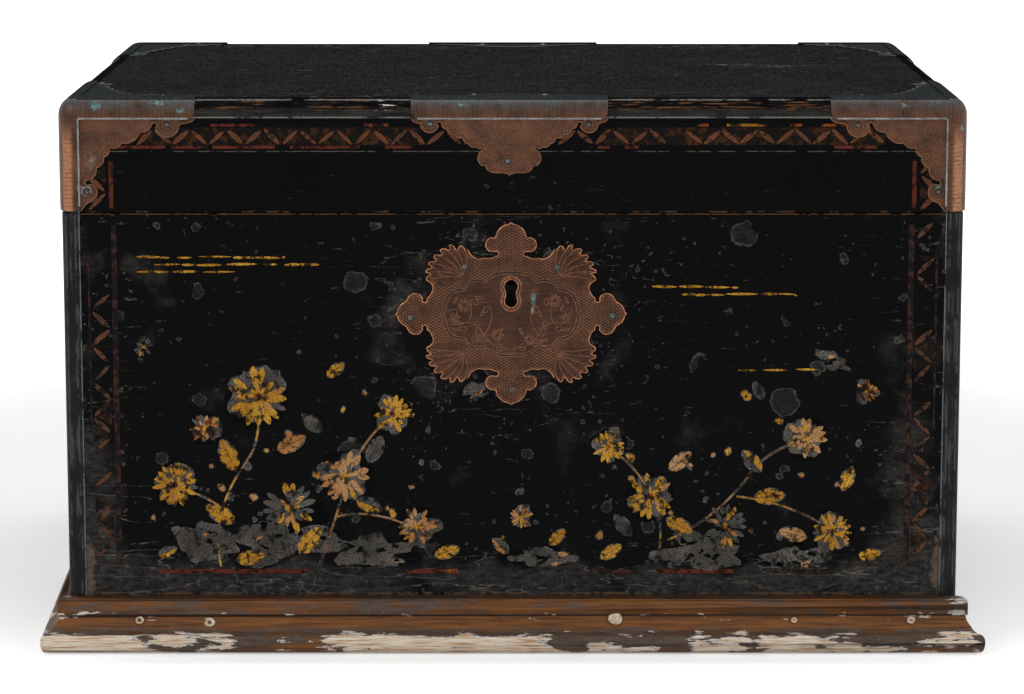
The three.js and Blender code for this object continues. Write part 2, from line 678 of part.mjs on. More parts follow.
// Hinges: two leaves laid on the back, whose knuckles take turns along a pin behind the seam
const hinges = () => {
  const axisY = depth + knuckleStand + knuckle;
  const axisZ = seam + lidGap / 2;
  const chestLeafBack = depth - faceFront + glueLine + hingeThick;
  const lidLeafBack = depth - rimRelief + glueLine + hingeThick;
  const inset = knuckle - hingeThick; // from the axis to the near edge of a leaf
  const pitch = hingeWidth / knuckles;
  const aside = halfWidth - backReach - hingeClear - hingeWidth / 2;
  for (const [hand, middle] of [["left", -aside], ["right", aside]]) {
    const start = middle - hingeWidth / 2;
    const leaf = (back, up, parity) => {
      const from = axisZ + up * inset;
      const to = axisZ + up * hingeLeaf;
      const [z0, z1] = [Math.min(from, to), Math.max(from, to)];
      let body = block(start, start + hingeWidth, back - hingeThick, back, z0, z1);
      for (let i = parity; i < knuckles; i += 2) {
        const x0 = start + i * pitch + knuckleGap / 2;
        const x1 = start + (i + 1) * pitch - knuckleGap / 2;
        const barrel = rod(knuckle, x1 - x0, 12).rotateZ(Math.PI / 2);
        const web = [axisZ + up * inset, axisZ + up * knuckle];
        body = joined(
          body,
          solid(barrel.translate((x0 + x1) / 2, axisY, axisZ)),
          block(x0, x1, back - hingeThick, axisY, Math.min(...web), Math.max(...web)),
        );
      }
      const bore = rod(hingePin + pinClearance, hingeWidth + 2 * spare, 12).rotateZ(Math.PI / 2);
      return cut(body, solid(bore.translate(middle, axisY, axisZ)));
    };
    add(chest, `${hand}_hinge_case_leaf`, leaf(chestLeafBack, -1, 0), copper);
    add(lid, `${hand}_hinge_lid_leaf`, leaf(lidLeafBack, 1, 1), copper);
    const pinLength = hingeWidth + 2 * pinClearance;
    const heads = [-1, 1].map((side) => {
      const head = rod(knuckle * 0.8, hingePin, 12).rotateZ(Math.PI / 2);
      return solid(head.translate((side * (pinLength + hingePin)) / 2, 0, 0));
    });
    const pin = joined(solid(rod(hingePin, pinLength + hingePin, 12).rotateZ(Math.PI / 2)), ...heads);
    add(chest, `${hand}_hinge_pin`, pin.translate(middle, axisY, axisZ), copper);
  }
};

// The lid's outer form: a box with rounded top edges and corners, larger by a margin
const envelope = (by) => {
  const bottom = seam - 2 * lidBead;
  const tallest = height + by - bottom;
  const geometry = new RoundedBoxGeometry(width + 2 * by, depth + 2 * by, tallest, 4, lidRound + by);
  return solid(geometry.translate(0, depth / 2, bottom + tallest / 2));
};

// Lid: four rims, a top panel in their rebate, and an edge bead in mitred lengths
const rimTop = height - lidBead - glueLine;
const panelHalf = [halfWidth - lidBead - glueLine, depth / 2 - lidBead - glueLine];
const panelBlock = [
  -panelHalf[0],
  panelHalf[0],
  depth / 2 - panelHalf[1],
  depth / 2 + panelHalf[1],
  panelTop - panel,
  panelTop,
];
const frontRim = [
  -halfWidth + rimRelief,
  halfWidth - rimRelief,
  rimRelief,
  rimRelief + rim,
  lidBottom,
  rimTop,
];
const cornerColumn = [-halfWidth, -halfWidth + lidBead, 0, lidBead, lidBottom, rimTop];
const lidWood = () => {
  add(lid, "lid_panel", block(...panelBlock), lacquer);
  const rebate = grown(panelBlock, glueLine);
  const column = tall(cornerColumn, glueLine);
  const hands = [false, true];
  const columns = hands.flatMap((x) => hands.map((y) => mirrored(column, x, y)));
  const front = cut(block(...frontRim), rebate, ...columns);
  add(lid, "lid_front_rim", front, lacquer);
  add(lid, "lid_back_rim", mirrored(front, false, true), lacquer);
  const ends = tall(frontRim, glueLine);
  const outerX = -halfWidth + rimRelief;
  const whole = block(outerX, outerX + rim, rimRelief, depth - rimRelief, lidBottom, rimTop);
  const side = cut(whole, rebate, ...columns, ends, mirrored(ends, false, true));
  add(lid, "lid_left_rim", side, lacquer);
  add(lid, "lid_right_rim", mirrored(side, true, false), lacquer);

  const form = envelope(0);
  const beadBottom = height - lidBead;
  const frontLength = upright(
    outline([
      [-halfWidth + glueLine, 0],
      [halfWidth - glueLine, 0],
      [halfWidth - lidBead - glueLine, lidBead],
      [-halfWidth + lidBead + glueLine, lidBead],
    ]),
    beadBottom,
    height,
  ).intersect(form);
  add(lid, "lid_front_bead", frontLength, lacquer);
  add(lid, "lid_back_bead", mirrored(frontLength, false, true), lacquer);
  const sideLength = upright(
    outline([
      [-halfWidth, glueLine],
      [-halfWidth + lidBead, lidBead + glueLine],
      [-halfWidth + lidBead, depth - lidBead - glueLine],
      [-halfWidth, depth - glueLine],
    ]),
    beadBottom,
    height,
  ).intersect(form);
  add(lid, "lid_left_bead", sideLength, lacquer);
  add(lid, "lid_right_bead", mirrored(sideLength, true, false), lacquer);
  const post = block(...cornerColumn).intersect(form);
  for (const [end, acrossY] of [["front", false], ["back", true]]) {
    for (const [hand, acrossX] of [["left", false], ["right", true]]) {
      add(lid, `lid_${end}_${hand}_corner_bead`, mirrored(post, acrossX, acrossY), lacquer);
    }
  }
};

// Copper mounts. A leaf is drawn from the bead's inner corner, with one arm along X and one
// along Y, scalloped between them and ending in round lobes that hold the nails.
const leafStart = lidBead + mountGap;
const bulgeTo = (shape, x, y, bulge) => {
  const from = shape.currentPoint;
  const middle = [(from.x + x) / 2, (from.y + y) / 2];
  shape.quadraticCurveTo(middle[0] - (y - from.y) * bulge, middle[1] + (x - from.x) * bulge, x, y);
};
const scallopTo = (shape, x, y) => {
  const from = shape.currentPoint.clone();
  const count = Math.max(1, Math.round(Math.hypot(x - from.x, y - from.y) / scallop));
  for (let i = 1; i <= count; i += 1) {
    bulgeTo(shape, from.x + ((x - from.x) * i) / count, from.y + ((y - from.y) * i) / count, 0.28);
  }
};
const waist = leafStart + leafWaist;
const leaf = (reachX, reachY, cusp) => {
  const taper = leafStart + 1.7 * leafStrip;
  const shape = new THREE.Shape();
  shape.moveTo(reachX, leafStart);
  shape.lineTo(reachX, leafStart + leafStrip);
  shape.quadraticCurveTo(reachX - lobeBack / 3, taper, reachX - lobeBack, waist);
  shape.lineTo(reachX - eyeBack, waist);
  scallopTo(shape, cusp[0], cusp[1]);
  scallopTo(shape, waist + armDrop, reachY - lobeBack);
  shape.lineTo(waist, reachY - lobeBack + leafWaist);
  shape.quadraticCurveTo(taper, reachY - lobeBack / 3, leafStart + leafStrip, reachY);
  shape.lineTo(leafStart, reachY);
  shape.lineTo(leafStart, leafStart);
  return shape;
};
const leafLobes = (reachX, reachY) => [
  disc(reachX - lobeBack, waist, lobe),
  disc(waist, reachY - lobeBack + leafWaist, lobe),
];
const leafEyes = (reachX, reachY) => [
  disc(reachX - eyeBack + notch * 0.3, waist + notch * 0.4, notch),
  disc(waist + armDrop, reachY - lobeBack - notch * 1.2, notch),
];
// a leaf as a plate of sheet metal, drawn flat with its back at Z = 0
const leafPlate = (reachX, reachY, cusp) => {
  const plates = [leaf(reachX, reachY, cusp), ...leafLobes(reachX, reachY)];
  const eyes = leafEyes(reachX, reachY).map((eye) => upright(eye, -sheet, 2 * sheet, 4));
  return cut(joined(...plates.map((shape, i) => upright(shape, 0, sheet, i ? 6 : 2))), ...eyes);
};

// The wood inside the beads that a mount lies on: the rims below the bead and the panel between
const woodUnder = () => {
  const beadIn = halfWidth - lidBead;
  const face = halfWidth - rimRelief;
  const beadFoot = height - lidBead;
  const rims = [
    [-beadIn, beadIn, rimRelief, depth - rimRelief, seam, beadFoot],
    [-face, face, lidBead, depth - lidBead, seam, beadFoot],
    [-beadIn, beadIn, lidBead, depth - lidBead, seam, panelTop],
  ];
  return joined(...rims.map((box) => grown(box, glueLine)));
};
const cornerMount = (reach) => {
  const mountDrop = lidHeight - mountFoot;
  const fold = leafStart + flange;
  const far = 2 * lidBead;
  const bars = (by, frontEnd, sideEnd, foot) =>
    joined(
      block(-halfWidth - far, frontEnd, -far, by, height - by, height + far),
      block(-halfWidth - far, -halfWidth + by, -far, sideEnd, height - by, height + far),
      block(-halfWidth - far, -halfWidth + by, -far, by, foot, height + far),
    );
  const foot = height - mountDrop;
  const outer = envelope(mountGap + sheet);
  const inner = envelope(mountGap);
  const wrap = bars(fold, -halfWidth + reach, sideReach, foot).intersect(outer);
  const under = bars(leafStart, 0, depth / 2, seam).intersect(inner);
  const cuspFront = [reach * 0.37, mountDrop * 0.435];
  const cuspSide = [sideReach * 0.33, mountDrop * 0.46];
  const cuspTop = [reach * 0.42, sideReach * 0.36];
  // X of a leaf runs to the right or back, Y of a leaf runs down or back
  const front = moved(
    flippedY(leafPlate(reach, mountDrop, cuspFront)),
    axes([1, 0, 0], [0, 0, 1], [0, -1, 0], [-halfWidth, rimRelief - glueLine, height]),
  );
  const side = moved(
    leafPlate(sideReach, mountDrop, cuspSide),
    axes([0, 1, 0], [0, 0, -1], [-1, 0, 0], [-halfWidth + rimRelief - glueLine, 0, height]),
  );
  const top = moved(
    leafPlate(reach * 0.96, sideReach, cuspTop),
    axes([1, 0, 0], [0, 1, 0], [0, 0, 1], [-halfWidth, 0, panelTop + glueLine]),
  );
  return cut(joined(wrap, front, side, top), under, woodUnder());
};
const centreMount = (shift) => {
  const fold = leafStart + flange;
  const far = 2 * lidBead;
  const wrap = block(shift - centreReach, shift + centreReach, -far, fold, height - fold, height + far);
  const bead = block(-width, width, -far, leafStart, height - leafStart, height + far);
  const tip = [centreReach, leafStart + leafStrip];
  const arm = [centreReach * 0.73, waist];
  const root = [centreReach * 0.3, centreDrop * 0.67]; // where the tongue begins
  const shape = new THREE.Shape();
  shape.moveTo(-tip[0], leafStart);
  shape.lineTo(-tip[0], tip[1]);
  shape.lineTo(-arm[0], arm[1]);
  scallopTo(shape, -root[0], root[1]);
  shape.lineTo(root[0], root[1]);
  scallopTo(shape, arm[0], arm[1]);
  shape.lineTo(tip[0], tip[1]);
  shape.lineTo(tip[0], leafStart);
  const tongue = centreDrop * 0.38;
  const centreLobe = centreReach * 0.81;
  const plates = [
    shape,
    disc(0, centreDrop - tongue, tongue),
    disc(-centreLobe, waist, lobe * 0.8),
    disc(centreLobe, waist, lobe * 0.8),
  ];
  const eyes = [-1, 1].flatMap((side) => [
    disc(side * (arm[0] - notch), waist, notch),
    disc(side * root[0], root[1], notch),
  ]);
  const flat = cut(
    joined(...plates.map((part, i) => upright(part, 0, sheet, i ? 6 : 2))),
    ...eyes.map((eye) => upright(eye, -sheet, 2 * sheet, 4)),
  );
  const front = moved(
    flippedY(flat),
    axes([1, 0, 0], [0, 0, 1], [0, -1, 0], [shift, rimRelief - glueLine, height]),
  );
  const [foot, crown] = [waist, centreTopReach * 0.8];
  const arch = new THREE.Shape();
  arch.moveTo(-centreReach, leafStart);
  arch.quadraticCurveTo(-centreReach * 0.5, foot, -centreReach * 0.4, crown);
  arch.quadraticCurveTo(0, centreTopReach * 1.2, centreReach * 0.4, crown);
  arch.quadraticCurveTo(centreReach * 0.5, foot, centreReach, leafStart);
  const top = moved(
    upright(arch, 0, sheet, 6),
    axes([1, 0, 0], [0, 1, 0], [0, 0, 1], [shift, 0, panelTop + glueLine]),
  );
  const under = bead.intersect(envelope(mountGap));
  return cut(joined(wrap.intersect(envelope(mountGap + sheet)), front, top), under, woodUnder());
};
const mounts = () => {
  for (const [end, acrossY] of [["front", false], ["back", true]]) {
    const corner = cornerMount(acrossY ? backReach : frontReach);
    for (const [hand, acrossX] of [["left", false], ["right", true]]) {
      add(lid, `${end}_${hand}_mount`, mirrored(corner, acrossX, acrossY), copper);
    }
  }
  add(lid, "front_centre_mount", centreMount(centreShift), copper);
  add(lid, "back_centre_mount", mirrored(centreMount(0), false, true), copper);
};

walls();
baseMouldings();
escutcheon();
lock();
staple();
handles();
hinges();
lidWood();
mounts();

// The footprint's middle comes to the origin
const footprint = new THREE.Box3().setFromObject(chest);
chest.position.x = -(footprint.min.x + footprint.max.x) / 2;
chest.position.y = -(footprint.min.y + footprint.max.y) / 2;
chest.updateMatrixWorld(true);

export default chest;
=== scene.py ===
# A worn black lacquer coffer with engraved copper mounts, dressed over its fixed frame.
import json
import math
import random

import bmesh
import bpy
from mathutils import Matrix, Vector, noise


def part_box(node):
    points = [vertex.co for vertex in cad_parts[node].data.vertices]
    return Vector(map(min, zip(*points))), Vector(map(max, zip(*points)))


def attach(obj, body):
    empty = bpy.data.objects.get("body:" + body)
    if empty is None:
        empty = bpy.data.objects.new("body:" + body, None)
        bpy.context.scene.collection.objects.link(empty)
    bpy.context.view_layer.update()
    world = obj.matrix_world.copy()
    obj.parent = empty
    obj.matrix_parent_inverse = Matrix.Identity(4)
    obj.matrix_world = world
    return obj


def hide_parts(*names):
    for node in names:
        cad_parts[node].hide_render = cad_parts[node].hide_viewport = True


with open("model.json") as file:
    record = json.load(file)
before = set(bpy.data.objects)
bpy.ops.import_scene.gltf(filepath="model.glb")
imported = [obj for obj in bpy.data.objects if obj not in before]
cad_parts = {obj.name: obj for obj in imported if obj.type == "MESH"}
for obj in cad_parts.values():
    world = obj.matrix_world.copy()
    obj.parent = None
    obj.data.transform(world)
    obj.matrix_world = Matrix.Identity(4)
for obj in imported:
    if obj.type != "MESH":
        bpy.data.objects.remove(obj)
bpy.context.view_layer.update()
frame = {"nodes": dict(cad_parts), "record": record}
luck = random.Random(7)

# Places taken from the frame, in millimetres: X from the middle of the chest, Y back from the
# front of the lid's bead, Z up from the floor
MM = 0.001
left_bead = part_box("lid_left_bead")
right_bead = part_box("lid_right_bead")
ORIGIN = Vector(((left_bead[0].x + right_bead[1].x) / 2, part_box("lid_front_bead")[0].y, 0))


def reach(node):
    """A node's lowest and highest corners in chest millimetres."""
    low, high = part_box(node)
    return (low - ORIGIN) / MM, (high - ORIGIN) / MM


HALF = (right_bead[1].x - left_bead[0].x) / 2 / MM
DEPTH = reach("lid_back_bead")[1].y
TOP = reach("lid_front_bead")[1].z
BEAD = TOP - reach("lid_front_bead")[0].z
LID_FOOT = reach("lid_front_rim")[0].z
SEAM = reach("front_board")[1].z
RIM_FACE = reach("lid_front_rim")[0].y
PANEL_TOP = reach("lid_panel")[1].z
BODY_FACE = reach("front_board")[0].y
BODY_SIDE = reach("right_side_board")[1].x
LOCK = sum(reach("escutcheon_plate"), Vector()) / 2
LINED = 14.5  # from the outside of the lid to just inside the face of a wall's lining


# Materials
def linear(text):
    """An sRGB hex colour as linear red, green, blue and alpha."""
    parts = [int(text[i : i + 2], 16) / 255 for i in (1, 3, 5)]
    return [c / 12.92 if c <= 0.04045 else ((c + 0.055) / 1.055) ** 2.4 for c in parts] + [1.0]


# Short names for kinds of node, with the setting that each has. "near" is 1 close to a value, else 0, and
# "scaled" multiplies and then adds
OPERATIONS = {
    "Math": {
        "times": "MULTIPLY", "plus": "ADD", "minus": "SUBTRACT", "scaled": "MULTIPLY_ADD", "near": "COMPARE",
        "most": "MAXIMUM", "least": "MINIMUM", "above": "GREATER_THAN", "below": "LESS_THAN",
        "size": "ABSOLUTE", "wave": "SINE", "angle": "ARCTAN2",
    },
    "VectorMath": {
        "vector plus": "ADD", "vector minus": "SUBTRACT", "vector times": "MULTIPLY",
        "vector scaled": "SCALE", "distance": "DISTANCE", "length": "LENGTH",
    },
}
KINDS = {
    short: (kind, {"operation": full}) for kind, names in OPERATIONS.items() for short, full in names.items()
}
KINDS |= {
    "mix": ("Mix", {"data_type": "RGBA"}),
    "range": ("MapRange", {}),
    "fade": ("MapRange", {"interpolation_type": "SMOOTHSTEP"}),
    "noise": ("TexNoise", {}),
}


class Nodes:
    """The node tree of a material or of the world, built by one method."""

    def __init__(self, owner):
        owner.use_nodes = True
        self.owner, self.tree = owner, owner.node_tree
        self.tree.nodes.clear()

    def add(self, kind, *inputs, out=None, **settings):
        """Adds a node. Inputs go to the sockets that it shows, in order, and those in a dict at the end go to
        the sockets named there. Each is a number, a hex colour or the output of another node."""
        kind, preset = KINDS.get(kind, (kind, {}))
        made = self.tree.nodes.new("ShaderNode" + kind)
        for name, value in (preset | settings).items():
            setattr(made, name, value)
        *inputs, named = inputs if inputs and isinstance(inputs[-1], dict) else (*inputs, {})
        pairs = list(zip([socket for socket in made.inputs if socket.enabled], inputs))
        for socket, value in pairs + [(made.inputs[key], value) for key, value in named.items()]:
            if isinstance(value, bpy.types.NodeSocket):
                self.tree.links.new(value, socket)
            else:
                socket.default_value = linear(value) if isinstance(value, str) else value
        if out is not None:
            return made.outputs[out]
        return next((socket for socket in made.outputs if socket.enabled), None)


class Finish(Nodes):
    """A material whose patterns are in chest millimetres: spot is the place, x, y and z its parts."""

    def __init__(self, name):
        super().__init__(bpy.data.materials.new(name))
        place = self.add("TexCoord", out="Object")
        self.spot = self.add("Mapping", place, {"Location": -ORIGIN / MM, "Scale": (1 / MM,) * 3})
        self.x, self.y, self.z = self.add("SeparateXYZ", self.spot).node.outputs

    def end(self, colour, roughness, relief, depth, metallic=0.0, specular=0.5):
        """Ends in one shader, with a relief that is so many millimetres deep."""
        bump = self.add("Bump", {"Height": relief, "Distance": depth * MM})
        inputs = {"Base Color": colour, "Roughness": roughness, "Normal": bump}
        inputs |= {"Metallic": metallic, "Specular IOR Level": specular}
        self.add("OutputMaterial", {"Surface": self.add("BsdfPrincipled", inputs)})
        return self.owner


def lining(f, tone, ceiling=False):
    """Inside, one thin coat of brown-black lacquer, under which the planed boards show faintly."""
    drawn = f.add("Mapping", f.spot, {"Scale": (0.06, 0.06, 1)})
    grain = f.add("noise", drawn, 1 / 2.5, 6, 0.6)
    cloud = f.add("noise", f.spot, 1 / 40, 5)
    coat = f.add("mix", f.add("range", grain, 0.35, 0.65), "#1b0f0a", "#2a1911")
    coat = f.add("mix", f.add("range", cloud, 0.5, 0.75), coat, "#33221a")
    if ceiling:
        inside = f.add("range", f.z, TOP - 7, TOP - 8)
    else:
        wide = f.add("below", f.add("size", f.x), HALF - LINED)
        deep = f.add("near", f.y, DEPTH / 2, DEPTH / 2 - LINED)
        inside = f.add("times", wide, deep)
    return f.add("mix", inside, tone, coat)


def urushi(name, wear, specular=0.03, lines=()):
    """Urushi: lacquer brushed on in many coats over cloth and clay, and polished. It is deep black where
    whole. Worn places are dull grey-brown, blisters have thin pale outlines, and threads of scratches
    cross it. Lines gives edges as axis, place, half width, colour and how much of each is left: worn
    edges, and on the lid a pale line under the border that is partly wear and partly a painted highlight."""
    f = Finish(name)
    bend = f.add("noise", f.spot, 1 / 9, 5, 0.6, out="Color")
    bent = f.add("vector minus", bend, (0.5, 0.5, 0.5))
    bent = f.add("vector scaled", bent, 9.0)
    bent = f.add("vector plus", f.spot, bent)
    broad = f.add("noise", f.spot, 1 / 55, 5, 0.55)
    streaky = f.add("Mapping", f.spot, {"Scale": (0.42, 0.42, 1)})
    fine = f.add("noise", streaky, 1 / 3, 7, 0.7)
    grit = f.add("noise", f.spot, 1 / 1.4, 4, 0.7)
    out = f.add("size", f.x)
    foot = f.add("fade", f.z, 78, 44, 0.0, 0.26)
    on_front = f.add("range", f.y, 8, 3)
    side = f.add("fade", out, 222, 276, 0.0, 0.24)
    low_side = f.add("range", f.z, 190, 90, 0.3, 1.0)
    side = f.add("times", f.add("times", side, low_side), on_front)
    flat = f.add("CombineXYZ", f.x, {"Z": f.z})
    lock = f.add("distance", flat, (LOCK.x, 0, LOCK.z))
    lock = f.add("fade", lock, 125, 66, 0.0, 0.095)
    handled = f.add("most", f.add("plus", foot, side), lock)
    # dull grey-brown areas
    rub = f.add("plus", broad, handled)
    rub = f.add("fade", rub, 0.68 - 0.1 * wear, 0.84 - 0.1 * wear)
    mottle = f.add("range", fine, 0.32, 0.68)
    tone = f.add("mix", broad, "#050506", "#0a0a0b")
    dull = f.add("mix", mottle, "#181716", "#454240")
    tone = f.add("mix", f.add("times", rub, 0.9), tone, dull)
    pale = f.add("fade", grit, 0.6, 0.72)
    pale = f.add("times", f.add("times", rub, pale), 0.7)
    tone = f.add("mix", pale, tone, "#8a837b")
    # blisters in clusters, a dull middle inside a thin outline: size, rarity, and width and strength of
    # the outline
    blisters = ((26, 0.97, 0.07, 0.55), (13, 0.99, 0.1, 0.55), (6, 1.08, 0.2, 0.45), (2.8, 1.14, 0.4, 0.55))
    gathered = f.add("noise", f.spot, 1 / 38, 2)
    gathered = f.add("range", gathered, 0.42, 0.66, -0.03, 0.02 + 0.19 * wear)
    gathered = f.add("scaled", lock, 1.1, gathered)
    for size, limit, ring, strength in blisters:
        cell = f.add("TexVoronoi", {"Vector": bent, "Scale": 1 / size, "Randomness": 1.0})
        colour = f.add("SeparateColor", cell.node.outputs[1])
        chosen = f.add("scaled", handled, 0.6, gathered)
        chosen = f.add("plus", colour, chosen)
        chosen = f.add("above", chosen, limit - 0.12 * wear)
        wide = f.add("range", colour.node.outputs[1], 0, 1, 0.1, 0.38)
        inside = f.add("minus", wide, cell)
        skin = f.add("range", inside, 0.0, 0.02)
        skin = f.add("times", skin, chosen)
        tone = f.add("mix", f.add("times", skin, 0.45), tone, dull)
        edge = f.add("near", inside, ring * 0.2, ring * 0.28)
        edge = f.add("times", f.add("times", edge, chosen), mottle)
        edge = f.add("times", edge, strength)
        tone = f.add("mix", edge, tone, "#6f6d6a")
    # scratches that wander, mostly level
    drawn = f.add("Mapping", f.spot, {"Scale": (0.13, 0.13, 1)})
    thread = f.add("noise", drawn, 1 / 14, 3, 0.5)
    scratch = f.add("near", thread, 0.47, 0.004)
    kept = f.add("plus", fine, handled)
    kept = f.add("fade", kept, 0.55, 0.68)
    scratch = f.add("times", f.add("times", scratch, kept), 0.08 + 0.35 * wear)
    tone = f.add("mix", scratch, tone, "#8a857d")
    gaps = f.add("noise", f.spot, 1 / 11, 7, 0.72)
    for axis, place, width, colour, share in lines:
        away = {"x": out, "y": f.y, "z": f.z}[axis]
        wander = f.add("range", fine, 0.2, 0.8, -width, width)
        edge = f.add("near", f.add("plus", away, wander), place, width)
        left = f.add("fade", gaps, 0.6 - 0.25 * share, 0.66 - 0.25 * share)
        tone = f.add("mix", f.add("times", edge, left), tone, colour)
    if wear > 0.5:
        # the lower ends of the front, rubbed to the ground and the wood
        bare = f.add("fade", out, 276, 286, 0.0, 0.34)
        bare = f.add("times", bare, f.add("fade", f.z, 100, 60))
        bare = f.add("times", bare, on_front)
        bare = f.add("plus", bare, gaps)
        bare = f.add("fade", bare, 0.68, 0.76)
        wood = f.add("mix", mottle, "#4b4038", "#7a6857")
        tone = f.add("mix", f.add("times", bare, 0.85), tone, wood)
    rough = f.add("range", rub, 0, 1, 0.22, 0.75)
    relief = f.add("times", fine, rub)
    return f.end(lining(f, tone), rough, relief, 0.2, specular=specular)


def inner_urushi(name):
    """The finish of the bottom board, which is lined all over."""
    f = Finish(name)
    grain = f.add("noise", f.spot, 1 / 2.5, 6, 0.6)
    return f.end(lining(f, "#1b0f0a"), 0.45, grain, 0.15, specular=0.2)


def satin_urushi(name):
    """The same lacquer on top of the lid, dulled by handling: a satin black over the weave of the cloth
    ground, with pale scratches along it."""
    f = Finish(name)
    # threads of the cloth, drawn 2 mm apart instead of 1 so that they show
    warp = f.add("noise", f.add("Mapping", f.spot, {"Scale": (0.1, 1, 1)}), 1 / 2, 3)
    weft = f.add("noise", f.add("Mapping", f.spot, {"Scale": (1, 0.1, 1)}), 1 / 2, 3)
    weave = f.add("times", warp, weft)
    cloud = f.add("noise", f.spot, 1 / 70, 5, 0.6)
    tone = f.add("mix", f.add("range", cloud, 0.35, 0.65), "#19191a", "#232223")
    threads = f.add("range", weave, 0.16, 0.36, 0.0, 0.75)
    tone = f.add("mix", threads, tone, "#343333")
    near_edge = f.add("least", f.y, f.add("minus", DEPTH, f.y))
    near_edge = f.add("range", near_edge, 80, 20, 0.0, 0.05)
    # a long place behind the middle, right of it, is rubbed more than the rest
    away = f.add("vector minus", f.spot, (185, 250, TOP))
    away = f.add("vector times", away, (1 / 75, 1 / 28, 0))
    away = f.add("length", away)
    rubbed = f.add("most", f.add("range", away, 1.0, 0.3, 0.0, 0.075), near_edge)
    parts = f.add("noise", f.spot, 1 / 7, 6, 0.72)
    parts = f.add("fade", parts, 0.46, 0.55)
    kinds = ((0.05, 5, 0.655, "#7d6340"), (0.12, 3, 0.645, "#77736c"), (0.7, 6, 0.66, "#6a6761"))
    for stretch, size, limit, colour in kinds:
        drawn = f.add("Mapping", f.spot, {"Scale": (stretch, 1, 1)})
        lines = f.add("noise", drawn, 1 / size, 6, 0.68)
        lines = f.add("plus", lines, rubbed)
        lines = f.add("fade", lines, limit, limit + 0.025)
        lines = f.add("times", lines, parts)
        tone = f.add("mix", f.add("times", lines, 0.9), tone, colour)
    return f.end(lining(f, tone, ceiling=True), 0.6, weave, 0.2, specular=0.0)


def edge_urushi(name, upright):
    """Lacquer on the rounded edge strips, which hands and cloths have rubbed: black, with brown where
    the ground shows, and pale grey lines along both arrises, worn, but on the level strips the upper
    line is a painted highlight and the grey of the lower half is partly a painted sheen."""
    f = Finish(name)
    cloud = f.add("noise", f.spot, 1 / 22, 6, 0.62)
    draw = (1, 1, 0.09) if upright else (0.09, 0.09, 1)
    drawn = f.add("Mapping", f.spot, {"Scale": draw})
    rub = f.add("noise", drawn, 1 / 2.6, 7, 0.72)
    fine = f.add("noise", f.spot, 1 / 2.2, 6, 0.75)
    tone = f.add("mix", f.add("range", cloud, 0.35, 0.65), "#0d0d0f", "#19191b")
    grey = f.add("plus", rub, f.add("range", cloud, 0, 1, -0.12, 0.12))
    if upright:
        grey = f.add("fade", grey, 0.5, 0.68, 0.0, 0.75)
        tone = f.add("mix", grey, tone, "#55585a")
        out = f.add("size", f.x)
        arrises = (
            (out, HALF - 12.2, 0.4, "#7a7f82", 0.75), (out, HALF - 9.5, 0.5, "#55595b", 0.6),
            (out, HALF - 3.4, 0.5, "#56504b", 0.7), (out, HALF - 1.0, 0.5, "#5c4636", 0.2),
        )
    else:
        # the upper half stays black, and the lower half is greyed, partly dust and partly a painted sheen
        dust_and_sheen = f.add("fade", f.z, TOP - 5, TOP - 8.5, 0.0, 0.75)
        dust_and_sheen = f.add("times", dust_and_sheen, f.add("range", grey, 0.4, 0.6, 0.3))
        tone = f.add("mix", dust_and_sheen, tone, "#454340")
        high = f.add("near", f.z, TOP - 4.6, 3.2)
        thin = f.add("Mapping", f.spot, {"Scale": (0.05, 0.05, 1)})
        thin = f.add("noise", thin, 1 / 1.1, 5, 0.7)
        brown = f.add("times", f.add("fade", thin, 0.56, 0.6), high)
        tone = f.add("mix", f.add("times", brown, 0.85), tone, "#7b5230")
        chalk = f.add("plus", rub, f.add("range", cloud, 0.3, 0.8, -0.16, 0.1))
        here = f.add("distance", f.spot, (-87, 0, TOP - 4))
        chalk = f.add("plus", chalk, f.add("range", here, 20, 6, 0.0, 0.19))
        chalk = f.add("range", chalk, 0.66, 0.68)
        tone = f.add("mix", f.add("times", chalk, high), tone, "#cfcac2")
        # the line along the upper arris is a painted highlight, the one along the lower arris is wear
        arrises = ((f.z, TOP - 1.2, 0.35, "#87827b", 0.7), (f.z, TOP - BEAD + 0.8, 0.45, "#8b8680", 0.8))
    for away, place, width, colour, share in arrises:
        wander = f.add("range", fine, 0.2, 0.8, -width, width)
        line = f.add("near", f.add("plus", away, wander), place, width)
        kept = f.add("fade", cloud, 0.68 - 0.36 * share, 0.76 - 0.36 * share)
        line = f.add("times", f.add("times", line, kept), share)
        tone = f.add("mix", line, tone, colour)
    rough = f.add("range", rub, 0.4, 0.7, 0.3, 0.7)
    return f.end(tone, rough, rub, 0.25, specular=0.1 if upright else 0.0)


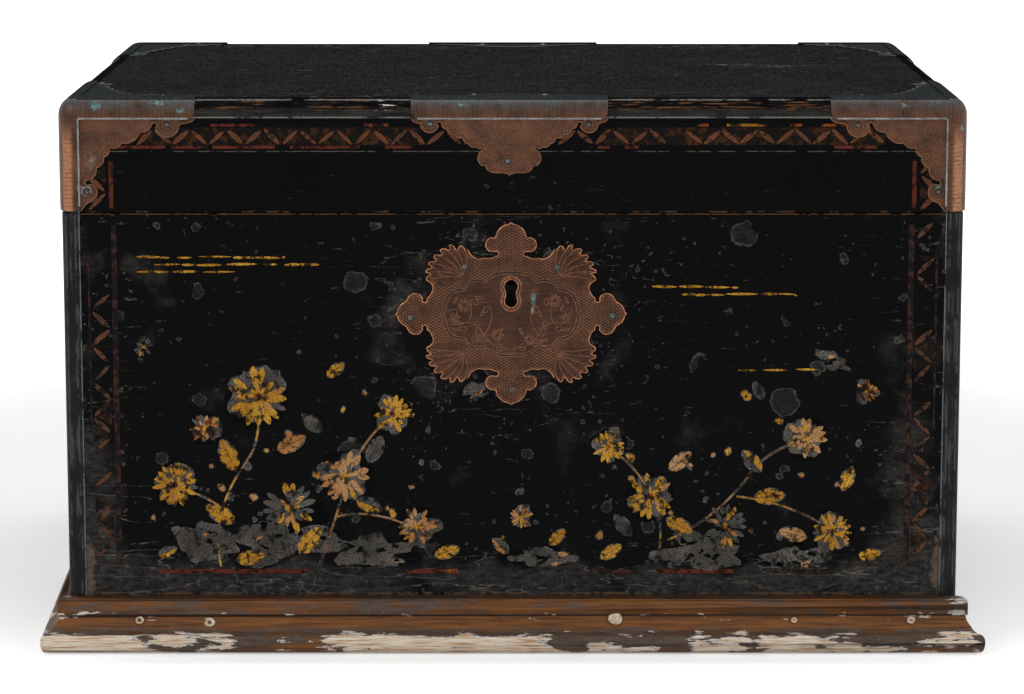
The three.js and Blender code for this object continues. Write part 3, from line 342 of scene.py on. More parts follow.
def sheet_copper(name, engraving, dark="#38251b", base="#583928", bright="#8e5d3f", patina=0.0, **shine):
    """Sheet copper, hammered, cut with chisels and chased by hand. The ground has darkened to brown,
    raised lines are rubbed bright, and damp has left blue-grey on top with spots of verdigris."""
    f = Finish(name)
    cloud = f.add("noise", f.spot, 1 / 14, 8, 0.65)
    fine = f.add("noise", f.spot, 1 / 2.2, 6, 0.7)
    mixed = f.add("range", cloud, 0.36, 0.64)
    tone = f.add("mix", mixed, dark, base)
    strength = 0.6
    if engraving == "scroll":
        # chiselled curls, each a stroke that winds in at a pitch of 2.1 mm, with bare ground between them
        flat = f.add("CombineXYZ", f.add("plus", f.x, f.y), f.z)
        form = {"Vector": flat, "Scale": 1 / 6.6, "Randomness": 0.9}
        cell = f.add("TexVoronoi", form, voronoi_dimensions="2D")
        away = f.add("vector minus", flat, cell.node.outputs[2])
        far = f.add("length", away)
        parts = f.add("SeparateXYZ", away).node.outputs
        angle = f.add("angle", parts[1], parts[0])
        turn = f.add("scaled", far, 2 * math.pi / 2.1, angle)
        turn = f.add("wave", f.add("times", turn, 0.5))
        line = f.add("fade", f.add("size", turn), 0.5, 0.18)
        line = f.add("times", line, f.add("range", far, 4.2, 3.4))
        some = f.add("noise", f.spot, 1 / 5, 3)
        line = f.add("times", line, f.add("fade", some, 0.3, 0.5))
        strength = 0.42
    elif engraving == "diaper":
        # crossed strokes 2 mm apart, like basketwork, which stop at the corner leaves
        strokes = []
        for slope in (0.55, -0.55):
            slant = f.add("scaled", f.x, slope, f.z)
            slant = f.add("plus", slant, f.add("range", fine, 0, 1, -0.7, 0.7))
            wave = f.add("wave", f.add("times", slant, math.pi / 2.0))
            strokes.append(f.add("size", wave))
        line = f.add("least", strokes[0], strokes[1])
        line = f.add("fade", line, 0.4, 0.85)
        u = f.add("size", f.add("minus", f.x, LOCK.x))
        v = f.add("size", f.add("minus", f.z, LOCK.z))
        quarter = f.add("CombineXYZ", u, v)
        leaf = f.add("distance", quarter, (45, 35, 0))
        leaf = f.add("fade", leaf, 17.5, 15.5)
        across, along = (f.add("minus", a, b) for a, b in ((u, 28), (v, 21)))
        angle = f.add("angle", along, across)
        angle = f.add("plus", angle, f.add("range", cloud, 0, 1, -0.5, 0.5))
        veins = f.add("size", f.add("wave", f.add("times", angle, 11)))
        veins = f.add("fade", veins, 0.3, 0.1)
        line = f.add("Mix", leaf, line, f.add("times", veins, 0.6))
        line = f.add("times", line, f.add("range", cloud, 0.3, 0.6, 0.35))
        strength = 0.5
    elif engraving == "plain":
        drawn = f.add("Mapping", f.spot, {"Scale": (0.05, 1, 1)})
        line = f.add("noise", drawn, 1 / 0.8, 3)
        line = f.add("range", line, 0.45, 0.8, 0.0, 0.6)
    else:
        # strokes across the rolled edge, 2.8 mm apart and none quite level
        along = {"x": f.x, "y": f.y, "z": f.z}[engraving]
        along = f.add("plus", along, f.add("range", cloud, 0, 1, -1.6, 1.6))
        wave = f.add("wave", f.add("times", along, math.pi / 2.8))
        line = f.add("fade", f.add("size", wave), 0.26, 0.08)
        faint = f.add("noise", f.spot, 1 / 9, 3)
        line = f.add("times", line, f.add("range", faint, 0.35, 0.6))
    if engraving == "z":
        # the turn of the upright edge is lighter as far as hands reach: a painted highlight on the rounding,
        # with some rubbing
        inwards = f.add("minus", DEPTH, f.y)
        corner = f.add("CombineXYZ", f.add("size", f.x), f.add("least", f.y, inwards))
        away = f.add("distance", corner, (HALF - 4.8, 0.6, 0))
        glow = f.add("fade", away, 5.4, 2.2)
        glow = f.add("times", glow, f.add("fade", f.z, TOP - 13, TOP - 34))
        glow = f.add("times", glow, f.add("range", fine, 0.3, 0.55, 0.35))
        tone = f.add("mix", f.add("times", glow, 0.9), tone, "#a06f50")
        bright, strength = "#2b1c15", f.add("range", f.z, TOP - 12, TOP - 24, 0.25, 0.85)
    tone = f.add("mix", f.add("times", line, strength), tone, bright)
    weather = f.add("range", f.z, TOP - 10, TOP - 2)
    weather = f.add("times", weather, f.add("range", cloud, 0.3, 0.55))
    weather = f.add("most", weather, patina)
    damp = ("#23282a", "#3a4447") if patina else ("#2c3336", "#4a5659")
    blue = f.add("mix", f.add("range", fine, 0.35, 0.65), damp[0], damp[1])
    tone = f.add("mix", f.add("times", weather, 0.85), tone, blue)
    # verdigris, and pale bloom round the low nails: place along X and Z, size and colour of each spot
    spots = (
        (-275, 366.5, 5, 3.6, "#5c9a9c"), (-233, 368.5, 5, 2.2, "#5f8f90"),
        (-219, 363.5, 3.4, 2.4, "#5c9a9c"), (-283, 311.5, 6.5, 5.5, "#9aa39c"),
        (-278, 330, 6, 7, "#6f685d"), (281, 312, 3.4, 3.4, "#5f9294"), (-33, 367.5, 5, 1.8, "#6f8a8a"),
        (258, 367, 3.2, 2, "#8fa19c"), (296, 352, 2.2, 3.6, "#6b8f8f"),
    )
    if engraving in ("diaper", "plain"):
        spots = (
            (LOCK.x + 15.0, LOCK.z + 11.0, 3.2, 7, "#5d7d7e"),
            (LOCK.x + 14.2, LOCK.z + 3.0, 1.6, 5, "#6f8f8c"),
        )
    for x, z, width, height, colour in spots:
        place = f.add("vector minus", f.spot, (x, 0, z))
        place = f.add("vector times", place, (1 / width, 0, 1 / height))
        place = f.add("length", place)
        place = f.add("minus", f.add("times", fine, 3.2), place)
        place = f.add("plus", place, f.add("range", f.y, 12, 40, 0.0, -9.0))
        place = f.add("fade", place, 0.8, 1.6, 0.0, 0.66)
        tone = f.add("mix", place, tone, colour)
    rough = f.add("range", fine, 0.3, 0.7, 0.36, 0.56)
    relief = f.add("minus", line, f.add("times", fine, 0.5))
    return f.end(tone, rough, relief, 0.2, **({"metallic": 0.8} | shine))


def small_metal(name, colour, dark, rough, metallic=0.9, spotted=0.0):
    """Cast or wrought fittings, mottled at random between a dark and a rubbed colour."""
    f = Finish(name)
    cloud = f.add("noise", f.spot, 1 / 3, 6, 0.65)
    tone = f.add("mix", f.add("range", cloud, 0.35, 0.65), dark, colour)
    if spotted:
        broad = f.add("noise", f.spot, 1 / 25, 1)
        green = f.add("fade", broad, 0.6, 0.64, 0.0, spotted)
        tone = f.add("mix", green, tone, "#5f9294")
    return f.end(tone, rough, cloud, 0.12, metallic=metallic)


def stained_softwood(name, along):
    """Planed softwood, stained brown and blackened. The stain has rubbed through on the nose, where the
    bare grain shows inside a thin white line of the chalk ground."""
    f = Finish(name)
    run = f.x if along == "x" else f.y
    draw = (0.05, 1, 1) if along == "x" else (1, 0.05, 1)
    short = (0.24, 1, 1) if along == "x" else (1, 0.24, 1)
    drawn = f.add("Mapping", f.spot, {"Scale": draw})
    stretched = f.add("Mapping", f.spot, {"Scale": short})
    streak = f.add("noise", drawn, 1 / 2, 6, 0.65)
    cloud = f.add("noise", stretched, 1 / 11, 7, 0.64)
    fine = f.add("noise", stretched, 1 / 2.4, 7, 0.72)
    lines = f.add("range", streak, 0.36, 0.62)
    brown = f.add("mix", lines, "#4d2c10", "#8a5420")
    old = f.add("mix", f.add("range", fine, 0.3, 0.7), "#2b231f", "#675a50")
    # brown shows at the top of the cove, and at the foot of the nose as a painted reflection; grey-black
    # elsewhere
    in_cove = f.add("range", f.z, 15.5, 18.5, 0.0, 0.34)
    below = f.add("range", f.z, 24.2, 25.0, 1.0, 0.0)
    in_cove = f.add("times", in_cove, below)
    painted_reflection_at_foot = f.add("range", f.z, 8, 3, 0.0, 0.16)
    on_slope = f.add("range", f.z, 16.5, 13, 0.0, 0.14)
    share = f.add("minus", f.add("minus", cloud, in_cove), painted_reflection_at_foot)
    on_band = f.add("range", f.z, 25, 26, 0.0, -0.06)
    share = f.add("plus", f.add("plus", share, on_slope), on_band)
    share = f.add("plus", share, f.add("range", fine, 0.3, 0.7, -0.17, 0.17))
    share = f.add("fade", share, 0.42, 0.56, 0.1, 0.9)
    tone = f.add("mix", share, brown, old)
    # a dark line painted under the band, for the shadow it casts on the cove
    painted_shadow_line = f.add("near", f.z, 24.2, 0.75)
    tone = f.add("mix", f.add("times", painted_shadow_line, 0.85), tone, "#120c09")
    arris = f.add("near", f.add("plus", f.z, fine), 36.2, 0.5)
    tone = f.add("mix", f.add("times", arris, 0.6), tone, "#2a231f")
    # where the nose has lost its stain: middle, half length, height reached and strength of each place
    places = (
        (-281, 34, 12.5, 0.3), (-226, 36, 13.5, 0.15), (-50, 74, 12.5, 0.28),
        (62, 14, 9, 0.16), (86, 16, 6, 0.14), (139, 20, 14.5, 0.19),
        (200, 34, 12.5, 0.22), (262, 24, 9, 0.13), (300, 14, 14, 0.14),
    )
    if along == "y":
        places = ((20, 60, 12.5, 0.2), (260, 50, 12.5, 0.18))
    lift = 0.0
    for middle, length, top, strength in places:
        away = f.add("size", f.add("minus", run, middle))
        here = f.add("range", away, length * 1.2, length * 0.75, 0.0, strength)
        high = f.add("fade", f.z, top + 2, top - 2)
        lift = f.add("most", lift, f.add("times", here, high))
    patch = f.add("noise", stretched, 1 / 6, 9, 0.62)
    value = f.add("plus", patch, lift)
    value = f.add("plus", value, f.add("range", fine, 0.3, 0.7, -0.045, 0.045))
    on_nose = f.add("range", f.z, 18, 14, -0.2, 0.0)
    value = f.add("plus", value, on_nose)
    bare = f.add("range", value, 0.65, 0.66)
    chalk = f.add("near", value, 0.65, 0.018)
    rings = f.add("noise", drawn, 1 / 1.1, 4, 0.6)
    rings = f.add("fade", rings, 0.36, 0.58)
    grain = f.add("mix", rings, "#c39a72", "#f6e8d4")
    tone = f.add("mix", bare, tone, grain)
    tone = f.add("mix", f.add("times", chalk, 0.9), tone, "#efe9e1")
    chip = f.add("noise", stretched, 1 / 4, 5, 0.6)
    near_end = f.add("range", f.add("size", f.x), 250, 290, 0.0, 0.07)
    right_end = f.add("range", f.x, 276, 298, -0.1, 0.07)
    edge = f.add("range", f.add("minus", f.z, 25.6), 2.6, 0.0, -0.1, 0.03)
    chip = f.add("plus", chip, f.add("most", edge, right_end))
    chip = f.add("plus", chip, near_end)
    chip = f.add("times", f.add("range", chip, 0.66, 0.68), f.add("near", f.z, 28.4, 8.0))
    tone = f.add("mix", chip, tone, "#e6ddcf")
    lost = f.add("most", bare, chip)
    rough = f.add("range", lost, 0, 1, 0.42, 0.75)
    relief = f.add("minus", f.add("plus", streak, fine), lost)
    return f.end(tone, rough, relief, 0.3, specular=0.22 if along == "x" else 0.04)


def maki_e(name, light, dark, ground, loss, metallic=0.0, rough=0.5, second=None):
    """Maki-e: metal and earth powders sprinkled on wet lacquer. Its grains glitter where they are left,
    and the black or grey ground shows between them."""
    f = Finish(name)
    # grains are drawn 1 mm across instead of 0.1 so that they show
    grains = f.add("noise", f.spot, 1 / 0.9, 5, 0.75)
    cloud = f.add("noise", f.spot, 1 / 6, 7, 0.68)
    broad = f.add("noise", f.spot, 1 / 30, 3)
    light = f.add("mix", f.add("range", broad, 0.4, 0.6), light, second or light)
    tone = f.add("mix", f.add("range", grains, 0.4, 0.6), dark, light)
    gone = f.add("plus", cloud, f.add("range", grains, 0, 1, -0.2, 0.2))
    limit = 0.72 - 0.3 * loss
    gone = f.add("fade", gone, limit, limit + 0.05)
    tone = f.add("mix", gone, tone, ground)
    if metallic:
        metallic = f.add("range", gone, 0, 1, metallic, 0.0)
    relief = f.add("minus", grains, gone)
    return f.end(tone, rough, relief, 0.2, metallic, 0.06)


wall_lines = (
    ("z", SEAM - 0.5, 0.25, "#704b2b", 0.7), ("z", SEAM - 2.4, 1.1, "#4c4a47", -0.25),
    ("x", 285.4, 0.7, "#55493f", 0.2), ("z", 37.2, 1.0, "#5c4a3a", 0.5),
)
rim_lines = (
    ("z", LID_FOOT + 0.5, 0.4, "#5d4330", 0.3), ("z", LID_FOOT + 2.4, 1.2, "#565350", -0.3),
    # the pale line under the border is partly wear and partly a painted highlight along its edge
    ("z", 336.4, 0.3, "#57534f", 0.55),
)
body_lacquer = urushi("urushi_on_the_walls", 0.75, lines=wall_lines)
rim_lacquer = urushi("urushi_on_the_lid_sides", 0.2, lines=rim_lines)
inner_lacquer = inner_urushi("thin_urushi_inside")
top_lacquer = satin_urushi("satin_urushi_on_the_lid")
bead_lacquer = edge_urushi("rubbed_and_highlighted_urushi_on_level_edges", False)
corner_lacquer = edge_urushi("rubbed_urushi_on_upright_edges", True)
leaf_copper = sheet_copper("chased_sheet_copper", "scroll")
rolled_x = sheet_copper("rolled_sheet_copper_along_the_front", "x", bright="#7a5d4d")
rolled_y = sheet_copper("rolled_sheet_copper_along_the_sides", "y", bright="#7a5d4d")
rolled_z = sheet_copper("rolled_sheet_copper_upright", "z")
weathered = {"patina": 0.8, "metallic": 0.0, "specular": 0.0}
top_copper = sheet_copper("weathered_sheet_copper", "plain", "#211d1a", "#2c2724", **weathered)
lock_copper = sheet_copper("diapered_sheet_copper", "diaper", "#291910", "#452a1d", "#8d5e42")
panel_copper = sheet_copper("smoothed_sheet_copper", "plain", "#2a1a12", "#40271b", "#66422e")
# the bright edge colour is filed wear and also a painted highlight
rim_copper = small_metal("copper_rubbed_and_highlighted_on_its_edge", "#b67d58", "#6a4431", 0.36)
line_copper = small_metal("copper_rubbed_on_raised_lines", "#7f5740", "#573a2b", 0.42)
# the pale fold is greyed copper and also a painted highlight where it catches the light
ridge_copper = small_metal("copper_fold_greyed_and_highlighted", "#8d9091", "#5d544c", 0.4, 0.6)
groove_copper = small_metal("copper_blackened_in_its_grooves", "#2b1c14", "#1a110d", 0.6, 0.6)
turned_copper = small_metal("turned_copper", "#6a4534", "#33241e", 0.42)
nail_iron = small_metal("domed_nail_heads", "#5b5a57", "#33312f", 0.42, 0.8, spotted=0.25)
wrought_iron = small_metal("wrought_iron", "#45403c", "#26221f", 0.6)
base_wood_x = stained_softwood("stained_softwood_along_the_front", "x")
base_wood_y = stained_softwood("stained_softwood_along_the_side", "y")
filler = small_metal("pale_filler_over_nails", "#efe6d6", "#b08a5e", 0.8, 0.0)
petal_powder = maki_e("brown_maki_e", "#845439", "#4a2e20", "#1c1410", 0.5, second="#6d4632")
red_powder = maki_e("red_maki_e", "#7a372b", "#4a2119", "#16100e", 0.62, second="#66301f")
orange_powder = maki_e("orange_maki_e", "#a34a25", "#5e2c17", "#150f0d", 0.8, second="#a8701f")
ground_powder = maki_e("sprinkled_ground", "#573418", "#1c130d", "#0e0b0a", 0.85, second="#35231a")
gold_powder = maki_e("gold_maki_e", "#d9a63a", "#6e4815", "#2a1f14", 0.62, 0.4, 0.42, "#b57f29")
pale_powder = maki_e("pale_gold_maki_e", "#cda172", "#7d5429", "#3a2e23", 0.55, 0.25, second="#ad6f38")
grey_powder = maki_e("bared_grey_ground", "#7f7a73", "#262423", "#1c1b1a", 0.55, second="#56524d")
gold_line = maki_e("thin_gold_maki_e", "#c8912c", "#5d3d12", "#120f0c", 0.75, second="#9a6a20")
edge_powder = maki_e("pale_broken_edge", "#7c7770", "#3c3a38", "#141313", 0.8)
moat_black = urushi("black_urushi_round_the_gold", 0.0, 0.02)
column_powder = maki_e("dark_red_maki_e", "#512c24", "#33201b", "#131010", 0.85, second="#42362f")
column_petals = maki_e("dull_brown_maki_e", "#7a5139", "#452f23", "#15110f", 0.7, second="#573f31")

# Finishes of the frame's own nodes: the first word that a name holds decides
NODE_FINISHES = {
    "bottom": inner_lacquer, "board": body_lacquer, "panel": top_lacquer, "rim": rim_lacquer,
    "bead": corner_lacquer, "front_base": base_wood_x, "left_base": base_wood_y,
    "lock": wrought_iron, "staple": wrought_iron,
    "post": turned_copper, "bail": turned_copper, "pin": turned_copper, "": leaf_copper,
}
for name, node in frame["nodes"].items():
    node.data.materials.clear()
    node.data.materials.append(next(finish for word, finish in NODE_FINISHES.items() if word in name))


# Meshes
def linked(name, data):
    """A new object in the scene."""
    made = bpy.data.objects.new(name, data)
    bpy.context.scene.collection.objects.link(made)
    return made


def piece(name, bm, materials, body, slot, replaced=(), smooth=35):
    """Puts a mesh drawn in chest millimetres at its place, and joins it to a body."""
    bmesh.ops.remove_doubles(bm, verts=bm.verts, dist=0.001)
    bmesh.ops.recalc_face_normals(bm, faces=bm.faces)
    bmesh.ops.transform(bm, matrix=Matrix.Translation(ORIGIN) @ Matrix.Scale(MM, 4), verts=bm.verts)
    mesh = bpy.data.meshes.new(name)
    bm.to_mesh(mesh)
    bm.free()
    for finish in materials:
        mesh.materials.append(finish)
    mesh.shade_smooth()
    mesh.set_sharp_from_angle(angle=math.radians(smooth))
    made = linked(name, mesh)
    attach(made, body)
    if replaced:
        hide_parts(*replaced)


def box_mesh(low, high, radius=0.0, segments=3, rounded=None):
    """A block between two corners, with the chosen edges rounded."""
    bm = bmesh.new()
    bmesh.ops.create_cube(bm, size=1)
    bmesh.ops.scale(bm, vec=Vector(high) - Vector(low), verts=bm.verts)
    bmesh.ops.translate(bm, vec=(Vector(high) + Vector(low)) / 2, verts=bm.verts)
    if radius > 0:
        edges = [e for e in bm.edges if rounded is None or rounded(*[v.co for v in e.verts])]
        form = {"segments": segments, "profile": 0.5, "affect": "EDGES", "material": -1}
        bmesh.ops.bevel(bm, geom=edges, offset=radius, offset_type="OFFSET", clamp_overlap=False, **form)
    return bm


def sliced(bm, spot, normal, keep_solid=True):
    """Cuts away what lies on the side that normal points to, and closes the cut."""
    parts = bm.verts[:] + bm.edges[:] + bm.faces[:]
    plane = {"plane_co": spot, "plane_no": Vector(normal).normalized()}
    made = bmesh.ops.bisect_plane(bm, geom=parts, dist=1e-5, clear_outer=True, clear_inner=False, **plane)
    edges = [e for e in made["geom_cut"] if isinstance(e, bmesh.types.BMEdge)]
    if keep_solid and edges:
        bmesh.ops.contextual_create(bm, geom=edges)
    return bm


def merged(target, source, material):
    """Adds one bmesh to another, with its faces on one material slot if a slot is given."""
    if material is not None:
        for face in source.faces:
            face.material_index = material
    mesh = bpy.data.meshes.new("part")
    source.to_mesh(mesh)
    source.free()
    target.from_mesh(mesh)
    bpy.data.meshes.remove(mesh)
    return target


def placed(bm, x, y, turn):
    """Turns and moves a flat drawing in its own plane."""
    place = Matrix.Translation((x, y, 0)) @ Matrix.Rotation(turn, 4, "Z")
    bmesh.ops.transform(bm, matrix=place, verts=bm.verts)
    return bm


def on_face(target, bm, axes, spot, material=None):
    """Lays a flat drawing on a face, whose axes give the drawing's X, Y and outward directions."""
    turn = Matrix(axes).transposed().to_4x4()
    bmesh.ops.transform(bm, matrix=Matrix.Translation(spot) @ turn, verts=bm.verts)
    merged(target, bm, material)


# Axes of a drawing whose Y runs down a front, or up a front, a left and a right side, or back on top
DOWN_FRONT = ((1, 0, 0), (0, 0, -1), (0, -1, 0))
UP_FRONT = ((1, 0, 0), (0, 0, 1), (0, -1, 0))
DOWN_LEFT = ((0, 1, 0), (0, 0, -1), (-1, 0, 0))
UP_LEFT = ((0, 1, 0), (0, 0, 1), (-1, 0, 0))
UP_RIGHT = ((0, 1, 0), (0, 0, 1), (1, 0, 0))
ON_TOP = ((1, 0, 0), (0, 1, 0), (0, 0, 1))
UP_BACK = ((1, 0, 0), (0, 0, 1), (0, 1, 0))


def lid_form(by, radius):
    """The lid's outer form with rounded top edges and uprights, larger by a margin. It goes on below the
    lid's foot, where it is cut."""
    low = (-HALF - by, -by, LID_FOOT - 20)
    high = (HALF + by, DEPTH + by, TOP + by)
    return box_mesh(low, high, radius + by, 10, lambda a, b: max(a.z, b.z) > LID_FOOT)


class Outline:
    """A flat outline, drawn point by point from straight lines, curves and arcs."""

    def __init__(self, x, y):
        self.points = [Vector((x, y))]

    def line(self, x, y):
        self.points.append(Vector((x, y)))
        return self

    def curve(self, cx, cy, x, y, steps):
        start, control, end = self.points[-1], Vector((cx, cy)), Vector((x, y))
        for i in range(1, steps + 1):
            t = i / steps
            self.points.append(start * (1 - t) ** 2 + control * 2 * t * (1 - t) + end * t * t)
        return self

    def arc(self, cx, cy, radius, start, end, steps):
        """From one angle to another, in degrees."""
        for i in range(steps + 1):
            a = math.radians(start + (end - start) * i / steps)
            self.points.append(Vector((cx + radius * math.cos(a), cy + radius * math.sin(a))))
        return self

    def scallop(self, x, y, bulge, steps=6):
        start, end = self.points[-1], Vector((x, y))
        middle, along = (start + end) / 2, end - start
        return self.curve(middle.x + along.y * bulge, middle.y - along.x * bulge, x, y, steps)


GROOVE_SIDE, GROOVE_DEPTH = 0.18, 0.2


def raised(bm, thick, rim, grooves=(), ground=0, edge=0):
    """Gives a flat shape its thickness, a filed rim, and grooves cut along its outline."""
    for face in bm.faces:
        face.material_index = ground
    top = bmesh.ops.extrude_face_region(bm, geom=bm.faces[:])["geom"]
    verts = [v for v in top if isinstance(v, bmesh.types.BMVert)]
    faces = [f for f in top if isinstance(f, bmesh.types.BMFace)]
    fall = 0.6 * min(rim, thick)
    bmesh.ops.translate(bm, vec=(0, 0, thick - fall), verts=verts)
    steps = [(rim, fall, edge)]
    done = rim
    for groove in grooves:
        steps.append((groove - done, 0, ground))
        steps += [(GROOVE_SIDE, -GROOVE_DEPTH, edge), (GROOVE_SIDE, GROOVE_DEPTH, ground)]
        done = groove + 2 * GROOVE_SIDE
    for width, rise, finish in steps:
        ring = bmesh.ops.inset_region(bm, faces=faces, thickness=width, depth=rise, use_even_offset=False)
        for face in ring["faces"]:
            face.material_index = finish
    return bm


def plate(loops, thick, rim, **form):
    """A flat plate, filled between an outline and its holes, lying on the XY plane."""
    bm = bmesh.new()
    for loop in loops:
        points = [p for i, p in enumerate(loop) if (p - loop[i - 1]).length > 0.03]
        verts = [bm.verts.new((p.x, p.y, 0)) for p in points]
        for i, vert in enumerate(verts):
            bm.edges.new((verts[i - 1], vert))
    bmesh.ops.triangle_fill(bm, use_beauty=True, use_dissolve=False, edges=bm.edges[:], normal=(0, 0, 1))
    return raised(bm, thick, rim, **form)


def lens(half_length, half_width, thick):
    """A pointed petal as a thin relief."""
    bm = bmesh.new()
    bmesh.ops.create_circle(bm, cap_ends=True, segments=14, radius=1)
    for vert in bm.verts:
        vert.co.y *= abs(vert.co.y) ** 0.45
    bmesh.ops.scale(bm, vec=(half_length, half_width, 1), verts=bm.verts)
    top = bmesh.ops.extrude_face_region(bm, geom=bm.faces[:])["geom"]
    bmesh.ops.translate(bm, vec=(0, 0, thick), verts=[v for v in top if isinstance(v, bmesh.types.BMVert)])
    return bm


def ribbon(paths, wire, flatness, closed=False):
    """Paths drawn as a wire, flattened towards their plane."""
    data = bpy.data.curves.new("line", "CURVE")
    data.dimensions = "3D"
    data.resolution_u = 1
    data.bevel_depth = wire
    data.bevel_resolution = 1
    for path in paths:
        spline = data.splines.new("POLY")
        spline.points.add(len(path) - 1)
        for point, spot in zip(spline.points, path):
            point.co = (spot[0], spot[1], 0.0, 1.0)
        spline.use_cyclic_u = closed
    holder = linked("line", data)
    shape = bpy.data.meshes.new_from_object(holder.evaluated_get(bpy.context.evaluated_depsgraph_get()))
    bpy.data.objects.remove(holder)
    bm = bmesh.new()
    bm.from_mesh(shape)
    bpy.data.meshes.remove(shape)
    bpy.data.curves.remove(data)
    bmesh.ops.scale(bm, vec=(1, 1, flatness), verts=bm.verts)
    return bm


def mirror_copy(bm, across_x, across_y):
    """A copy seen in a mirror across the chest's middle."""
    made = bm.copy()
    flips = (-1 if across_x else 1, -1 if across_y else 1, 1)
    bmesh.ops.scale(made, vec=flips, verts=made.verts)
    if across_y:
        bmesh.ops.translate(made, vec=(0, DEPTH, 0), verts=made.verts)
    return made


# Lid beads and the chest's corner beads, smoothly rounded
LID_ROUND = 11
CASE_ROUND = 5
JOINT = 0.2  # between two beads


def lid_beads():
    """The lid's level edges, cut so that they meet, and its four uprights."""
    ring = bmesh.new()
    inner_x = -HALF + BEAD
    front_cuts = [((0, BEAD, 0), (0, 1, 0))]
    side_cuts = [((inner_x, 0, 0), (1, 0, 0))]
    side_cuts += [((0, BEAD + JOINT, 0), (0, -1, 0)), ((0, DEPTH - BEAD - JOINT, 0), (0, 1, 0))]
    for number, cuts in enumerate((front_cuts, side_cuts)):
        bar = lid_form(0, LID_ROUND)
        for spot, normal in [((0, 0, TOP - BEAD), (0, 0, -1))] + cuts:
            sliced(bar, spot, normal)
        for far in (False, True):
            merged(ring, mirror_copy(bar, far and number == 1, far and number == 0), 0)
        bar.free()
    bar = lid_form(0, LID_ROUND)
    for spot, normal in (
        ((0, 0, TOP - BEAD - JOINT), (0, 0, 1)),
        ((0, 0, LID_FOOT), (0, 0, -1)),
        ((inner_x, 0, 0), (1, 0, 0)),
        ((0, BEAD, 0), (0, 1, 0)),
    ):
        sliced(bar, spot, normal)
    for across_x in (False, True):
        for across_y in (False, True):
            merged(ring, mirror_copy(bar, across_x, across_y), 1)
    bar.free()
    nodes = [f"lid_{side}_bead" for side in ("front", "back", "left", "right")]
    nodes += [f"lid_{end}_{hand}_corner_bead" for end in ("front", "back") for hand in ("left", "right")]
    piece("lid_bead_frame", ring, [bead_lacquer, corner_lacquer], "lid", "black_lacquer", nodes, 50)


def corner_beads():
    """The chest's four uprights, of which the outer edge is rounded."""
    for end in ("front", "back"):
        for hand in ("left", "right"):
            node = f"{end}_{hand}_corner_bead"
            low, high = reach(node)
            outer = (low.x if hand == "left" else high.x, low.y if end == "front" else high.y)

            def at_corner(a, b):
                return all(abs(v.x - outer[0]) < 0.1 and abs(v.y - outer[1]) < 0.1 for v in (a, b))

            round_bead = box_mesh(low, high, CASE_ROUND, 8, at_corner)
            piece(f"{node}_round", round_bead, [corner_lacquer], "case", "black_lacquer", [node])


# Copper mounts over the lid's edges
low_mount, high_mount = reach("front_left_mount")
SHEET = 0.9  # thickness of the copper
OUT = -HALF - low_mount.x  # how far it stands out from the lid
RIDGE = 1.2  # width of the ridge that ends the rolled sheet
FOLD = BEAD + 0.5  # from the lid's edge to the inner side of that ridge
SIDE_REACH = high_mount.y
MOUNT_DROP = TOP - low_mount.z
GAP = 0.2  # between the lacquer and the back of a leaf
CUT_BACK = 3.2  # how far the ends of the rolled sheet are cut back, where they meet the leaves
LOBE_BACK = 18.3  # from the end of an arm to the middle of its lobe
WAIST = 17.6  # from the lid's edge to the middle of an arm's lobe
EYE = 1.4  # radius of the drilled eyes
GROOVES = (1.3, 2.4)  # how far they run in from a leaf's edge
RIDGE_END = 4.2  # from the end of an arm to that of its ridge
RIDGE_SUNK, RIDGE_PROUD, RIDGE_ROUND = 1.2, 0.4, 0.3


def leaf_outline(reach_x, reach_y, cusps):
    """A corner mount's leaf, from the tip of one arm round lobes, eyes and scallops to the other tip."""
    lobe, low_lobe = reach_x - LOBE_BACK, reach_y - 12.6
    path = Outline(reach_x, FOLD - 3)
    path.line(reach_x, FOLD + 0.3)
    path.curve(reach_x - 2.5, FOLD + 3.0, reach_x - 8.6, FOLD + 3.2, 5)
    path.arc(lobe, WAIST, 8.1, 2, 162, 16)
    path.arc(lobe - 8.2, WAIST - 0.3, EYE, 60, -170, 10)
    for x, y in cusps:
        path.scallop(x, y, 0.38)
    path.arc(18.2, low_lobe - 6.4, EYE, 290, 100, 10)
    path.arc(17.9, low_lobe, 6.9, -55, 80, 14)
    path.curve(FOLD + 3.2, reach_y - 4.6, FOLD + 0.3, reach_y, 5)
    path.line(FOLD - 3, reach_y)
    path.line(FOLD - 3, FOLD - 3)
    return path.points


NAIL_HEIGHT = 1.1
CHASED_CIRCLE = 4.2  # its radius round a nail
NAIL_RING = 0.5  # width of the dark ring


def nail(target, axes, spot, radius=1.9):
    """A domed nail head in a dark ring, with a chased circle round it, set on a face."""
    turns = [math.pi / 14 * i for i in range(28)]
    circle = [(CHASED_CIRCLE * math.cos(a), CHASED_CIRCLE * math.sin(a)) for a in turns]
    on_face(target, ribbon([circle], 0.18, 0.6, closed=True), axes, spot, 1)
    ring = bmesh.new()
    bmesh.ops.create_circle(ring, cap_ends=True, segments=16, radius=radius + NAIL_RING)
    bmesh.ops.translate(ring, vec=(0, 0, 0.04), verts=ring.verts)
    on_face(target, ring, axes, spot, 1)
    dome = bmesh.new()
    bmesh.ops.create_uvsphere(dome, u_segments=16, v_segments=10, radius=1)
    bmesh.ops.scale(dome, vec=(radius, radius, NAIL_HEIGHT), verts=dome.verts)
    on_face(target, sliced(dome, (0, 0, -0.02), (0, 0, -1)), axes, spot, 0)


